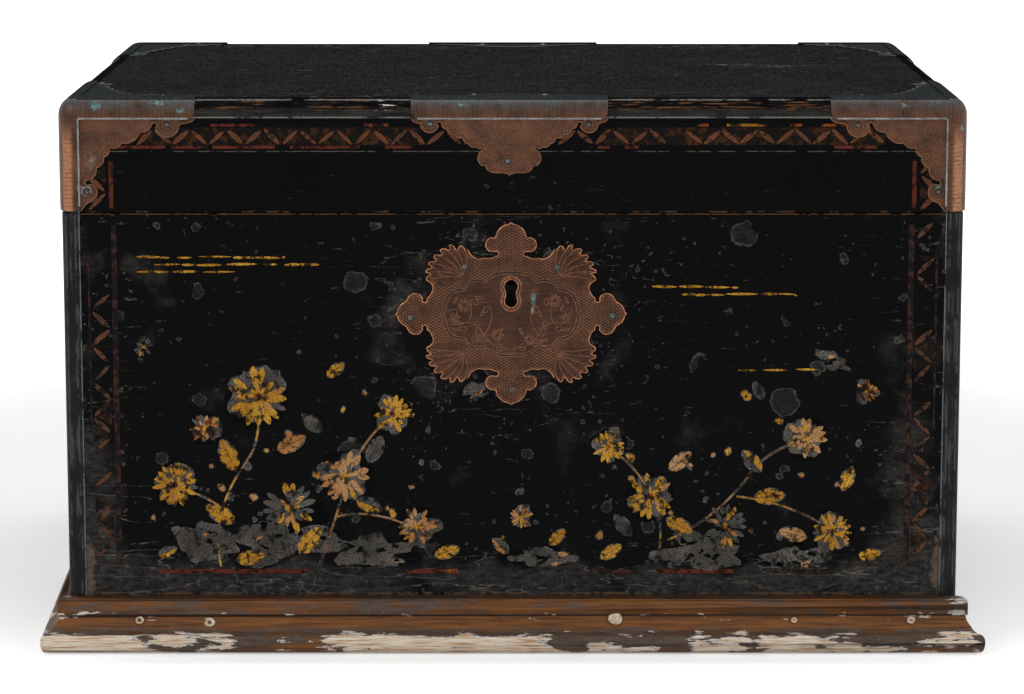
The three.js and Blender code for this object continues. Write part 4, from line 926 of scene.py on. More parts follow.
def wrap_shell(form, cuts, opened, finish):
    """Sheet metal folded round an edge: what is left of the outer form outside the open fields."""
    for spot, normal in cuts:
        parts = form.verts[:] + form.edges[:] + form.faces[:]
        bmesh.ops.bisect_plane(form, geom=parts, dist=1e-5, plane_co=spot, plane_no=normal)
    gone = [f for f in form.faces if opened(f.calc_center_median(), f.normal)]
    bmesh.ops.delete(form, geom=gone, context="FACES")
    for face in form.faces:
        face.material_index = finish(face.calc_center_median(), face.normal)
    bmesh.ops.solidify(form, geom=form.faces[:], thickness=SHEET)
    return form


def mount_pieces(end, hands, shapes, rolled):
    """Pieces of a mount's rolled sheet, leaves, ridges and nails, each mirrored to where it belongs."""
    parts = (
        ("rolled_sheet", rolled, "copper_sheet"),
        ("leaves", [leaf_copper, top_copper, panel_copper, line_copper], "copper_sheet"),
        ("ridges", [ridge_copper, top_copper], "copper_sheet"),
        ("nails", [nail_iron, groove_copper], "iron"),
    )
    for bm, (part, finishes, slot) in zip(shapes, parts):
        for hand in hands:
            name = f"{end}_{hand}_mount"
            made = mirror_copy(bm, hand == "right", end == "back")
            replaced = [name] if part == "rolled_sheet" else []
            piece(f"{name}_{part}", made, finishes, "lid", slot, replaced, 50)
        bm.free()


def corner_mounts(end):
    """Both corner mounts of an end: sheet rolled over three edges, and a leaf on each of three faces."""
    arm = reach(f"{end}_left_mount")[1].x + HALF
    foot = TOP - MOUNT_DROP
    inner = (-HALF + FOLD, FOLD, TOP - FOLD)  # past these the three faces are open for the leaves
    wrap = lid_form(OUT, LID_ROUND)
    for spot, normal in (
        ((-HALF + arm, 0, 0), (1, 0, 0)),
        ((0, SIDE_REACH, 0), (0, 1, 0)),
        ((0, 0, foot), (0, 0, -1)),
        ((-HALF + arm - CUT_BACK, 0, inner[2]), (1, 0, -0.8)),
        ((0, SIDE_REACH - CUT_BACK, inner[2]), (0, 1, -0.8)),
        ((inner[0], 0, foot + 2.2), (0.6, 0, -1)),
    ):
        sliced(wrap, spot, normal, keep_solid=False)
    cuts = [((inner[0], 0, 0), (1, 0, 0)), ((0, inner[1], 0), (0, 1, 0)), ((0, 0, inner[2]), (0, 0, 1))]

    def opened(c, n):
        return (c.x > inner[0]) + (c.y > inner[1]) + (c.z < inner[2]) >= 2

    def finish(c, n):
        if c.z < TOP - BEAD and c.x < inner[0] and c.y < inner[1]:
            return 1
        if n.z > 0.85:
            return 3
        return 2 if c.y > FOLD else 0

    wrap_shell(wrap, cuts, opened, finish)
    front = [(arm * 0.6, 22.3), (arm * 0.46, 29.7), (33.4, 32.7), (29.5, 38.8), (24.5, 45.9), (18.7, 54.4)]
    side = [(78, 22.3), (67, 25.5), (56, 29), (45.5, 32.5), (37, 38), (30, 42.5), (24, 48), (18.7, 54.4)]
    top = [(arm * 0.6, 23), (46, 31), (39, 40), (33, 51), (28, 63), (23.5, 78), (18.7, SIDE_REACH - 20.3)]
    leaves, ridges, nails = bmesh.new(), bmesh.new(), bmesh.new()
    step = RIM_FACE + OUT - GAP  # from the back of a leaf to the outside of the rolled sheet
    faces = [
        (DOWN_FRONT, Vector((-HALF, RIM_FACE - GAP, TOP)), arm, MOUNT_DROP, front),
        (DOWN_LEFT, Vector((-HALF + RIM_FACE - GAP, 0, TOP)), SIDE_REACH, MOUNT_DROP, side),
        (ON_TOP, Vector((-HALF, 0, PANEL_TOP + GAP)), arm * 0.96, SIDE_REACH, top),
    ]
    for axes, spot, reach_x, reach_y, cusps in faces:
        upper = axes is ON_TOP
        form = {"grooves": GROOVES, "ground": 1 if upper else 0, "edge": 2 if upper else 3}
        on_face(leaves, plate([leaf_outline(reach_x, reach_y, cusps)], SHEET, 0.5, **form), axes, spot)
        turn = Matrix(axes).transposed()
        for x, y in ((reach_x - LOBE_BACK, WAIST - 0.4), (17.6, reach_y - 13)):
            nail(nails, axes, spot + turn @ Vector((x, y, SHEET)))
        for far_x, far_y in () if upper else ((reach_x - RIDGE_END, FOLD), (FOLD, reach_y - 3.4)):
            low = (FOLD - RIDGE - 0.1, FOLD - RIDGE - 0.1, step - RIDGE_SUNK)
            high = (far_x, far_y, step + RIDGE_PROUD)
            on_face(ridges, box_mesh(low, high, RIDGE_ROUND), axes, spot, 0)
    rolled = [rolled_x, rolled_z, rolled_y, top_copper]
    mount_pieces(end, ("left", "right"), (wrap, leaves, ridges, nails), rolled)


def centre_outline(half):
    """The leaf below the middle mount: small lobes, scallops and a three-lobed tongue."""
    path = Outline(half, FOLD - 3)
    path.line(half, FOLD + 0.3)
    path.curve(half - 1.5, FOLD + 2.6, half - 5.6, FOLD + 3.0, 5)
    path.arc(half - 12.2, 16.4, 6.3, 5, 160, 14)
    path.arc(half - 18.6, 16.6, 1.3, 50, -170, 9)
    for x, y in ((41.2, 20.4), (36.4, 23.9), (30.9, 25.9), (27.2, 29.9), (21.9, 32.1), (18.2, 33.0)):
        path.scallop(x, y, 0.38, 5)
    path.arc(16.8, 34.1, 1.3, -30, -190, 8)
    path.arc(14.9, 39.2, 6.2, -78, 58, 12)
    path.line(15.9, 44.3).curve(14.8, 49.8, 7.4, 49.2, 7).curve(2.6, 48.8, 0, 50.8, 5)
    points = path.points
    return points + [Vector((-p.x, p.y)) for p in reversed(points[:-1])]


def centre_mount(end):
    """The mount in the middle of an end: sheet rolled over one edge, with a leaf below and one on top."""
    low, high = reach(f"{end}_centre_mount")
    middle, half = (low.x + high.x) / 2, (high.x - low.x) / 2
    wrap = lid_form(OUT, LID_ROUND)
    for side in (-1, 1):
        sliced(wrap, (middle + side * half, 0, 0), (side, 0, 0), keep_solid=False)
        sliced(wrap, (middle + side * (half - CUT_BACK), 0, TOP - FOLD), (side, 0, -0.8), keep_solid=False)
    sliced(wrap, (0, FOLD, 0), (0, 1, 0), keep_solid=False)
    sliced(wrap, (0, 0, TOP - FOLD), (0, 0, -1), keep_solid=False)
    wrap_shell(wrap, [], lambda c, n: n.z < -0.5 or n.y > 0.5, lambda c, n: 1 if n.z > 0.85 else 0)
    leaves, ridges, nails = bmesh.new(), bmesh.new(), bmesh.new()
    spot = Vector((middle, RIM_FACE - GAP, TOP))
    top_spot = Vector((middle, 0, PANEL_TOP + GAP))
    leaf = plate([centre_outline(half)], SHEET, 0.5, grooves=GROOVES, edge=3)
    on_face(leaves, leaf, DOWN_FRONT, spot)
    arch = Outline(-half, FOLD - 3)
    arch.line(half, FOLD - 3).line(half, FOLD)
    arch.curve(half * 0.5, 17.5, half * 0.4, 28.8, 8).curve(0, 43.2, -half * 0.4, 28.8, 10)
    arch.curve(-half * 0.5, 17.5, -half, FOLD, 8)
    upper = plate([arch.points], SHEET, 0.6, grooves=GROOVES[:1], ground=1, edge=2)
    on_face(leaves, upper, ON_TOP, top_spot)
    step, rise = RIM_FACE + OUT - GAP, TOP + OUT - PANEL_TOP - GAP
    low = (RIDGE_END - half, FOLD - RIDGE - 0.1, step - RIDGE_SUNK)
    across = box_mesh(low, (half - RIDGE_END, FOLD, step + RIDGE_PROUD), RIDGE_ROUND)
    on_face(ridges, across, DOWN_FRONT, spot, 0)
    across = box_mesh((-half, FOLD - RIDGE, 0), (half, FOLD, rise), RIDGE_ROUND)
    on_face(ridges, across, ON_TOP, top_spot, 1)
    for x, y in ((-half + 12.6, 16.6), (half - 12.6, 16.6), (-1.0, 41.4)):
        nail(nails, DOWN_FRONT, spot + Vector((x, -SHEET, -y)))
    for x in (-half * 0.36, half * 0.36):
        nail(nails, ON_TOP, top_spot + Vector((x, 22, SHEET)))
    mount_pieces(end, ("centre",), (wrap, leaves, ridges, nails), [rolled_x, top_copper])


# Escutcheon
def plate_quarter(half):
    """A quarter of the outline: half a top lobe, a toothed corner leaf and half a side lobe."""
    path = Outline(0, half.y)
    path.curve(1.2, 60.2, 2.6, 60.2, 3)
    path.arc(0, 50.0, 10.5, 74, 12, 8)
    path.arc(12.0, 46.4, 5.1, 110, -70, 12)
    path.arc(10.0, 40.3, 1.5, 60, 290, 10)
    path.curve(14, 36.6, 17.9, 37.8, 4).curve(21, 36.4, 24, 38.0, 4).curve(27.6, 39.6, 28.9, 45.6, 6)
    tips = [(28.9, 45.6), (34.4, 45.4), (41.2, 46.2), (47.2, 42.4)]
    tips += [(51.4, 38.0), (54.8, 33.0), (56.4, 27.6), (55.8, 22.2)]
    for start, end in zip(tips, tips[1:]):
        a, b = Vector(start), Vector(end)
        inward = Vector((b.y - a.y, a.x - b.x)).normalized()
        if inward.dot(Vector((32, 27)) - a) < 0:
            inward = -inward
        valley = a.lerp(b, 0.22) + inward * 2.9
        path.curve(*(a.lerp(b, 0.06) + inward * 2.2), *valley, 4)
        path.curve(*(a.lerp(b, 0.62) - inward * 1.9), *b, 6)
    path.curve(52.6, 20.8, 51.9, 18.2, 4).curve(52.6, 12.6, 56.0, 10.6, 5)
    path.arc(57.3, 9.4, 1.5, 150, 405, 11)
    path.arc(63.6, 8.8, 5.3, 150, 32, 9)
    path.arc(67.0, 0, 8.8, 70, 8, 9)
    path.line(half.x, 0)
    return path.points


def mirrored_quarter(points):
    """Closes a quarter outline across both axes."""
    right = points + [Vector((p.x, -p.y)) for p in reversed(points[:-1])]
    return right + [Vector((-p.x, p.y)) for p in reversed(right[1:-1])]


def keyhole(grow):
    """The keyhole's outline: a round head above a narrower neck and a rounded foot."""
    head, foot = 4.5 + grow, 4.2 + grow
    path = Outline(head * math.cos(math.radians(-40)), 18.4 + head * math.sin(math.radians(-40)))
    path.arc(0, 18.4, head, -38, 218, 24)
    path.line(-3.2 - grow * 0.9, 13.4)
    path.arc(0, 8.6, foot, 152, 388, 20)
    path.line(3.2 + grow * 0.9, 13.4)
    return path.points


def cartouche(grow):
    """The lobed field round the keyhole."""
    path = Outline(0, 28.8 + grow)
    path.curve(12.4, 29.4 + grow, 17.4, 22.6 + grow, 8).curve(26.6, 26.4 + grow, 31.4, 17.4 + grow, 8)
    path.curve(44.4 + grow, 17.8 + grow, 45.4 + grow, 2.4, 9).curve(45.8 + grow, 0.8, 47.2 + grow, 0, 3)
    return mirrored_quarter(path.points)


def spiral(x, y, size, turn, hand):
    """A curl of engraving that winds in from its stem."""
    curl, turns = [], 1.15
    for i in range(18):
        a = turn + hand * i / 17 * turns * 2 * math.pi
        r = size * (1 - 0.85 * i / 17)
        across, up = r * math.cos(a) - size * math.cos(turn), r * math.sin(a) - size * math.sin(turn)
        curl.append((x + across, y + up))
    return curl


def escutcheon():
    """The lock's plate with its field, corner leaves, engraved plant and nails."""
    low, high = reach("escutcheon_plate")
    middle = (low + high) / 2
    half = Vector((high.x - low.x, high.z - low.z)) / 2
    face = Vector((middle.x, low.y, middle.z))
    made = bmesh.new()
    outline = mirrored_quarter(plate_quarter(half))
    whole = plate([outline, keyhole(0)], high.y - low.y, 0.6, grooves=(1.7,), edge=1)
    on_face(made, whole, UP_FRONT, Vector((middle.x, high.y, middle.z)))
    # the field is framed by a raised bead, a blackened groove and a finer bead
    on_face(made, plate([cartouche(0), keyhole(2.6)], 0.22, 0.35, ground=4, edge=3), UP_FRONT, face)
    on_face(made, plate([cartouche(-1.5), keyhole(2.4)], 0.42, 0.6, ground=2, edge=3), UP_FRONT, face)
    on_face(made, plate([keyhole(2.5), keyhole(1.6)], 0.7, 0.35, ground=3, edge=3), UP_FRONT, face)
    finishes = [lock_copper, rim_copper, panel_copper, line_copper, groove_copper]
    piece("escutcheon_engraved_plate", made, finishes, "case", "copper_sheet", ["escutcheon_plate"], 50)
    # veins of the corner leaves, and a plain trailing plant engraved in the field
    lines = bmesh.new()
    vein_tips = ((30.8, 42.6), (36.6, 42.6), (43, 43), (48, 39), (51.6, 34), (53.4, 28.4), (53, 23.4))
    for side_x in (-1, 1):
        for side_y in (-1, 1):
            veins = []
            for x, y in vein_tips:
                vein = Outline(30 + x * 0.06, 22 + y * 0.1)
                vein.curve((29.5 + x) / 2 - 3, (23.5 + y) / 2 + 3, x, y, 6)
                veins.append([(side_x * p.x, side_y * p.y) for p in vein.points])
            on_face(lines, ribbon(veins, 0.2, 0.5), UP_FRONT, face, 0)
    sprays = []
    for side in (-1, 1):
        stem = Outline(side * 2, -22).curve(side * 12, -24, side * 18, -14, 9)
        stem.curve(side * 23, -4, side * 31, -6, 8).curve(side * 39, -7, side * 41, 2, 8)
        sprays.append(stem.points)
        sprays.append(Outline(side * 18, -14).curve(side * 12, -6, side * 13, 2, 7).points)
        sprays.append(Outline(side * 28, -6).curve(side * 25, 2, side * 27, 8, 7).points)
        for x, y, size, turn, hand in (
            (13, 2, 3.4, 3.3, -1), (27, 8, 3.2, 0.1, 1), (41, 2, 3.2, 0.4, 1), (18, -14, 3.6, -2.4, 1),
            (31, -6, 3.4, 1.6, -1), (24, -9.5, 3.0, -1.4, -1), (9, -20, 3.0, 1.3, 1), (36, -5, 2.6, -1.5, 1),
        ):
            sprays.append(spiral(side * x, y, size, turn if side > 0 else math.pi - turn, hand * side))
        blades = ((20, -19, 0.5), (34, -11, 0.2), (20, -2, 1.9), (33, 2, 1.2), (8, -14, 2.1), (38, 7, 2.0))
        for x, y, turn in blades:
            for bend in (-1.3, 1.3):
                blade = Outline(x, y)
                end = Vector((x + 5.2 * math.cos(turn), y + 5.2 * math.sin(turn)))
                side_step = Vector((-math.sin(turn), math.cos(turn))) * bend
                blade.curve(*((Vector((x, y)) + end) / 2 + side_step), *end, 5)
                sprays.append([(side * p[0], p[1]) for p in blade.points])
    for x, y, size in ((-31, 6, 5.0), (-9, -14, 4.2), (29, 9, 4.4), (12, -17, 3.6)):
        for i in range(9):
            a, wide = 2 * math.pi * i / 9, math.pi / 11
            petal = Outline(x + size * 0.3 * math.cos(a), y + size * 0.3 * math.sin(a))
            for turn, share in ((-wide, 1), (wide, 0.3)):
                b = a + turn * 1.2
                control = (x + size * 0.8 * math.cos(b), y + size * 0.8 * math.sin(b))
                petal.curve(*control, x + size * math.cos(a) * share, y + size * math.sin(a) * share, 4)
            sprays.append([(p.x, p.y) for p in petal.points])
    for x, y, wide, count in (
        (-18, -19, 15, 5), (-36, -7, 9, 5), (20, -21, 13, 4), (37, -6, 8, 5), (0, -26, 11, 3), (-20, 8, 7, 4),
        (18, 14, 7, 3),
    ):
        for i in range(count):
            start, length = x - wide / 2 + luck.uniform(-1.5, 1.5), wide * luck.uniform(0.6, 1.0)
            level = y + i * 1.25
            middle = (start + length / 2, level + luck.uniform(-0.2, 0.2))
            sprays.append([(start, level), middle, (start + length, level)])
    on_face(lines, ribbon(sprays, 0.22, 0.7), UP_FRONT, face - Vector((0, 0.42, 0)), 0)
    piece("escutcheon_raised_lines", lines, [line_copper], "case", "copper_sheet", smooth=60)
    nails = bmesh.new()
    for x, z in ((-31, 31.4), (31, 31.2), (-66.6, -2.6), (67.6, -0.8), (0.4, -51)):
        nail(nails, UP_FRONT, face + Vector((x, 0, z)), 2.2)
    piece("escutcheon_nails", nails, [nail_iron, groove_copper], "case", "iron", smooth=50)


# Borders of the lacquer: zigzags of petals between lines
STEP = 12.0  # from petal to petal
RELIEF = 0.15
BAND = (340.4, 351.4)  # heights on the lid of the petals, of their ground and of the lines on both sides
BAND_GROUND = (340.6, 352.2)
UPPER_LINE = (352.9, 354.7)
LOWER_LINE = (338.2, 340.2)
FOOT_LINE = (51.3, 54.0)  # heights of the line at the foot of the front
PETAL_HALF_WIDTH, PETAL_EDGE = 1.65, 0.45


def zigzag(target, axes, spot, start, stop, low, high, upright=False, skip=(), sprinkled=(), finish=0):
    """Petals that lean to and fro along a band, with sprinkled ground in the triangles between them."""
    count = int((stop - start) / STEP)
    lean = math.atan2(high - low - 0.6, STEP)
    length = math.hypot(high - low - 0.6, STEP) / 2 - 0.3
    for i in range(count):
        along, across = start + (i + 0.5) * STEP, (low + high) / 2
        turn = (lean if i % 2 == 0 else -lean) + luck.uniform(-0.07, 0.07)
        if i not in skip:
            drift, share = luck.uniform(-0.4, 0.4), luck.uniform(0.88, 1.0)
            wide = PETAL_HALF_WIDTH + luck.uniform(-0.25, 0.25)
            for grow, thick, material in ((PETAL_EDGE, 0.09, 5), (0.0, RELIEF, finish)):
                petal = lens(length * share + grow, wide + grow, thick)
                if upright:
                    placed(petal, across + drift, along, math.pi / 2 - turn)
                else:
                    placed(petal, along, across + drift, turn)
                on_face(target, petal, axes, spot, material)
        if i in sprinkled:
            foot, tip = (low + 0.5, high - 3.4) if i % 2 == 0 else (high - 0.5, low + 3.4)
            flat = ((along + 0.6, foot), (along + STEP - 0.6, foot), (along + STEP / 2, tip))
            ground = bmesh.new()
            ground.faces.new([ground.verts.new((y, x, 0.05) if upright else (x, y, 0.05)) for x, y in flat])
            on_face(target, ground, axes, spot, 2)


def stripe(target, axes, spot, x, y, material, thick=RELIEF):
    """A level or upright line between two values of X and two of Y."""
    on_face(target, box_mesh((min(x), min(y), 0), (max(x), max(y), thick)), axes, spot, material)


def borders():
    """The bands round the lid, the columns at the corners and the line at the foot, with their losses."""
    powders = [petal_powder, red_powder, ground_powder, orange_powder, gold_line, moat_black]
    lid, case = bmesh.new(), bmesh.new()
    front = Vector((0, RIM_FACE, 0))
    upper = ((-199, -170, 1), (-98, -82, 3), (121, 129, 3), (141, 168, 4), (183, 191, 3), (203, 222, 3))
    for x0, x1, material in upper:
        stripe(lid, UP_FRONT, front, (x0, x1), UPPER_LINE, material)
    for x0, x1 in (
        (-262, -229), (-225, -201), (-198, -157), (-147, -101), (-84, -66), (56, 64), (74, 83), (212, 240),
    ):
        stripe(lid, UP_FRONT, front, (x0, x1), LOWER_LINE, 1)
    for x0, x1 in ((-246, -60), (60, 246)):
        stripe(lid, UP_FRONT, front, (x0, x1), BAND_GROUND, 2, 0.04)
    zigzag(lid, UP_FRONT, front, -248.8, -20, *BAND)
    zigzag(lid, UP_FRONT, front, 29.6, 246, *BAND, skip=(6,))
    for side in (-1, 1):
        stripe(lid, UP_FRONT, front, (side * 264, side * 266.8), (298.5, 330), 1)
        column = -281.5 if side < 0 else 268.6
        zigzag(lid, UP_FRONT, front, 297, 334, column, column + 12.9, upright=True, sprinkled=(0, 1, 2))
    for axes, x in ((UP_LEFT, -HALF + RIM_FACE), (UP_RIGHT, HALF - RIM_FACE)):
        spot = Vector((x, 0, 0))
        stripe(lid, axes, spot, (120, 190), UPPER_LINE, 3)
        stripe(lid, axes, spot, (60, 300), LOWER_LINE, 1)
        stripe(lid, axes, spot, (70, DEPTH - 60), BAND_GROUND, 2, 0.04)
        zigzag(lid, axes, spot, 62, DEPTH - 62, *BAND, skip=(4, 15))
    piece("lid_border", lid, powders, "lid", "black_lacquer", smooth=30)
    front = Vector((0, BODY_FACE, 0))
    for side in (-1, 1):
        stripe(case, UP_FRONT, front, (side * 262.4, side * 266), (58, 288), 6)
        stripe(case, UP_FRONT, front, (side * 280.4, side * 281.9), (150, 270), 6)
        column = -280.2 if side < 0 else 266.8
        gone = (3, 5, 15, 16, 17, 18) if side < 0 else (9, 13, 14, 17)
        some = (1, 2, 6, 7) if side < 0 else (0, 3, 4, 10, 11)
        zigzag(case, UP_FRONT, front, 62, 291, column, column + 13.2, True, gone, some, 7)
    for x0, x1, material in (
        (-238, -137, 1), (-72, -44, 1), (52, 84, 6), (96, 148, 1), (176, 214, 6), (-44, -37, 3),
    ):
        stripe(case, UP_FRONT, front, (x0, x1), FOOT_LINE, material)
    for axes, x in ((UP_LEFT, -BODY_SIDE), (UP_RIGHT, BODY_SIDE)):
        spot = Vector((x, 0, 0))
        for y in (24, DEPTH - 24):
            stripe(case, axes, spot, (y - 10.5, y - 9.0), (60, 285), 6)
            stripe(case, axes, spot, (y + 8.2, y + 10.4), (60, 285), 6)
            zigzag(case, axes, spot, 62, 291, y - 6.8, y + 6.4, True, (4, 11), (), 7)
        stripe(case, axes, spot, (36, DEPTH - 36), (51.7, 53.7), 6)
    piece("body_border", case, powders + [column_powder, column_petals], "case", "black_lacquer", smooth=30)


# Raised gold work on the front: chrysanthemums, leaves and mist bands
def lump(width, height, thick, seed, rough, segments, rim):
    """An uneven patch with a falling rim, lying on the XY plane."""
    bm = bmesh.new()
    bmesh.ops.create_circle(bm, cap_ends=True, segments=segments, radius=1)
    for vert in bm.verts:
        drift = noise.noise(Vector((vert.co.x * 1.3, vert.co.y * 1.3, seed * 3.7)))
        ragged = noise.noise(Vector((vert.co.x * 4, vert.co.y * 4, seed * 1.9)))
        vert.co *= 1 + rough * drift * 1.6 + rough * 0.4 * ragged
    bmesh.ops.scale(bm, vec=(width / 2, height / 2, 1), verts=bm.verts)
    return raised(bm, thick, rim)


class GoldWork:
    """Motifs laid on the front, layer on layer. Finishes: 0 gold, 1 pale gold, 2 bared grey, 3 orange, 4 the
    black round a motif and 5 the pale broken edge round a patch or a leaf."""

    def __init__(self):
        self.bm = bmesh.new()
        self.face = Vector((0, BODY_FACE, 0))
        self.seed = 0

    def lay(self, bm, x, z, turn, finish, level=0.0):
        """Lays a drawing on the front, or above it where it lies on others."""
        on_face(self.bm, placed(bm, x, z, turn), UP_FRONT, self.face - Vector((0, level, 0)), finish)

    def patch(self, x, z, width, height, turn, finish, level, rough, segments=44):
        """An uneven patch of one finish, with a pale edge."""
        self.seed += 1
        edge = lump(width + 1.5, height + 1.5, 0.05, self.seed, rough, segments, 0.3)
        self.lay(edge, x, z, turn, 5, level)
        self.lay(lump(width, height, 0.16, self.seed, rough, segments, 0.4), x, z, turn, finish, level)

    def moat(self, x, z, width, height, turn, rough):
        """The black that is left round a motif."""
        self.seed += 1
        self.lay(lump(width, height, 0.04, self.seed, rough, 48, 0.3), x, z, turn, 4)

    def bloom(self, x, z, radius, finish, worn):
        """A chrysanthemum of three rings of petals, of which a share is worn away."""
        if finish != 2:
            self.moat(x, z, radius * 2.2, radius * 2.15, 0, 0.12)
            self.patch(x, z, radius * 1.7, radius * 1.65, 0, 2, 0.04, 0.4)
        for ring, share, count in ((0.72, 0.3, 17), (0.47, 0.25, 13), (0.25, 0.18, 9)):
            for i in range(count):
                chance = luck.random()
                if chance < worn:
                    continue
                shade = finish if chance > worn + 0.25 else luck.choice((0, 1, 2))
                a = 2 * math.pi * (i + ring) / count + luck.uniform(-0.05, 0.05)
                long = radius * share * luck.uniform(0.75, 1.12)
                wide = radius * ring * 3.0 / count * luck.uniform(0.75, 1.1)
                at = (x + radius * ring * math.cos(a), z + radius * ring * math.sin(a))
                self.lay(lens(long, wide, 0.2 + 0.08 * share), *at, a, shade, 0.1 + 0.12 * (1 - ring))
        self.patch(x, z, radius * 0.3, radius * 0.3, 0, 3 if finish == 0 else 0, 0.3, 0.1, segments=14)

    def leaf(self, x, z, length, turn, finish):
        """A pointed leaf of three lobes on each side, with its rib left open."""
        self.moat(x, z, length * 1.16, length * 0.6, turn, 0.2)
        self.lay(lens(length * 0.56, length * 0.3, 0.06), x, z, turn, 5)
        for side in (-1, 1):
            blade = Outline(-length * 0.5, side * 0.15)
            for t, wide in ((-0.22, 0.2), (0.08, 0.24), (0.3, 0.16)):
                out = side * length * wide
                blade.curve(length * (t - 0.16), out * 1.5, length * t, out, 4)
                blade.line(length * (t - 0.03), out * 0.62)
            blade.curve(length * 0.4, side * length * 0.2, length * 0.52, side * 0.15, 4)
            points = blade.points if side > 0 else list(reversed(blade.points))
            half = plate([points], 0.24, 0.25)
            self.lay(half, x, z, turn, finish if luck.random() > 0.15 else 2, 0.05)

    def stem(self, *curves):
        """A grey stem, on which powder is left in short runs."""
        path = Outline(*curves[0])
        for cx, cz, x, z in curves[1:]:
            path.curve(cx, cz, x, z, 14)
        self.lay(ribbon([path.points], 0.95, 0.1), 0, 0, 0, 2)
        done = 0
        while done < len(path.points) - 2:
            run = path.points[done : done + luck.randint(3, 6)]
            self.lay(ribbon([run], luck.uniform(0.45, 0.8), 0.4), 0, 0, 0, luck.choice((0, 1, 1, 3)))
            done += len(run) - luck.choice((1, 1, 0, -1))

    def mist(self, x, x1, z):
        """A level band of gold, broken into dashes."""
        while x < x1:
            length = min(luck.uniform(7, 24), x1 - x)
            dash = lens(length / 2, luck.uniform(0.55, 1.0), 0.16)
            self.lay(dash, x + length / 2, z + luck.uniform(-0.4, 0.4), luck.uniform(-0.02, 0.02), 0)
            x += length + luck.choice((-2.0, 0.5, 4.0))


def gold_work():
    """Two groups of sprays on banks, mist bands above them, and flecks that are left in between."""
    w = GoldWork()
    w.stem((-196, 56), (-204, 92, -178, 128), (-168, 142, -170, 166))
    w.stem((-190, 92), (-206, 106, -226, 110))
    w.stem((-130, 56), (-120, 84, -112, 112), (-104, 138, -84, 156))
    w.stem((-118, 90), (-96, 96, -70, 84))
    w.stem((96, 56), (104, 84, 92, 104), (86, 122, 66, 136))
    w.stem((104, 74), (136, 88, 158, 118), (168, 134, 192, 142))
    w.stem((150, 104), (186, 100, 212, 82))
    # worn to the grey ground: banked leaves and old blooms
    for x, z, width, height, turn in (
        (-152, 74, 62, 30, 0.12), (-206, 72, 34, 22, -0.2), (-92, 66, 44, 20, 0.05), (128, 66, 50, 20, -0.06),
        (190, 62, 36, 14, 0.1), (20, 62, 40, 12, 0), (-24, 176, 18, 9, 0.4), (214, 196, 20, 10, -0.5),
    ):
        w.moat(x, z, width * 1.08, height * 1.14, turn, 0.5)
        w.patch(x, z, width, height, turn, 2, 0.04, 0.5, segments=72)
        for _ in range(int(width / 6)):
            at = (x + luck.uniform(-0.4, 0.4) * width, z + luck.uniform(-0.35, 0.35) * height)
            size, turned = (luck.uniform(4, 9), luck.uniform(2, 4)), luck.uniform(-0.5, 0.9)
            w.patch(*at, *size, turned, luck.choice((1, 4, 4, 2)), 0.1, 0.4, segments=18)
    for x, z, radius, finish, worn in (
        (-170, 172, 20, 0, 0.12), (-112, 118, 17, 1, 0.2), (-226, 112, 15, 0, 0.18), (-80, 160, 13, 0, 0.2),
        (-64, 84, 13, 1, 0.25), (-150, 96, 18, 2, 0.3), (-206, 150, 10, 3, 0.15), (64, 138, 11, 0, 0.2),
        (92, 104, 16, 0, 0.15), (196, 144, 14, 1, 0.18), (214, 80, 13, 0, 0.2), (142, 84, 15, 2, 0.3),
        (236, 176, 8, 3, 0.2), (6, 90, 8, 1, 0.3), (-246, 206, 7, 2, 0.4),
    ):
        w.bloom(x, z, radius, finish, worn)
    for x, z, length, turn, finish in (
        (-190, 132, 22, 2.0, 0), (-148, 140, 20, 0.5, 1), (-196, 92, 21, 2.6, 0), (-136, 74, 22, 0.9, 0),
        (-92, 136, 19, 1.1, 2), (-134, 154, 17, 2.4, 0), (-96, 98, 18, -0.4, 0), (-44, 66, 17, 0.3, 0),
        (-212, 74, 17, 1.4, 2), (-176, 62, 19, 0.2, 0), (112, 128, 18, 0.7, 1), (112, 84, 19, -0.5, 0),
        (160, 128, 18, 2.3, 0), (172, 104, 20, 0.1, 0), (188, 78, 18, 2.9, 1), (74, 84, 17, 2.2, 2),
        (224, 116, 17, 1.2, 0), (66, 66, 16, 0.6, 0), (240, 64, 15, 0.2, 0), (30, 76, 14, 0.8, 0),
        (-8, 70, 14, 2.4, 1), (-118, 190, 14, 0.7, 0), (-232, 66, 13, 0.4, 0), (164, 176, 13, 2.0, 2),
    ):
        w.leaf(x, z, length, turn, finish)
    for x0, x1, z in (
        (-250, -150, 266), (-238, -128, 261), (-250, -184, 256), (92, 150, 246), (112, 190, 241),
        (150, 204, 190),
    ):
        w.mist(x0, x1, z)
    for _ in range(70):
        left, right = (luck.gauss(-150, 60), luck.gauss(116, 40)), (luck.gauss(150, 55), luck.gauss(104, 32))
        x, z = luck.choice((left, right))
        size, finish = luck.uniform(1.6, 4.4), luck.choice((0, 1, 2, 2))
        if 56 < z < 230 and abs(x) < 256:
            w.patch(x, z, size * 1.4, size, luck.uniform(0, 3), finish, 0.02, 0.3, segments=10)
    powders = [gold_powder, pale_powder, grey_powder, orange_powder, moat_black, edge_powder]
    piece("front_gold_work", w.bm, powders, "case", "black_lacquer", smooth=30)


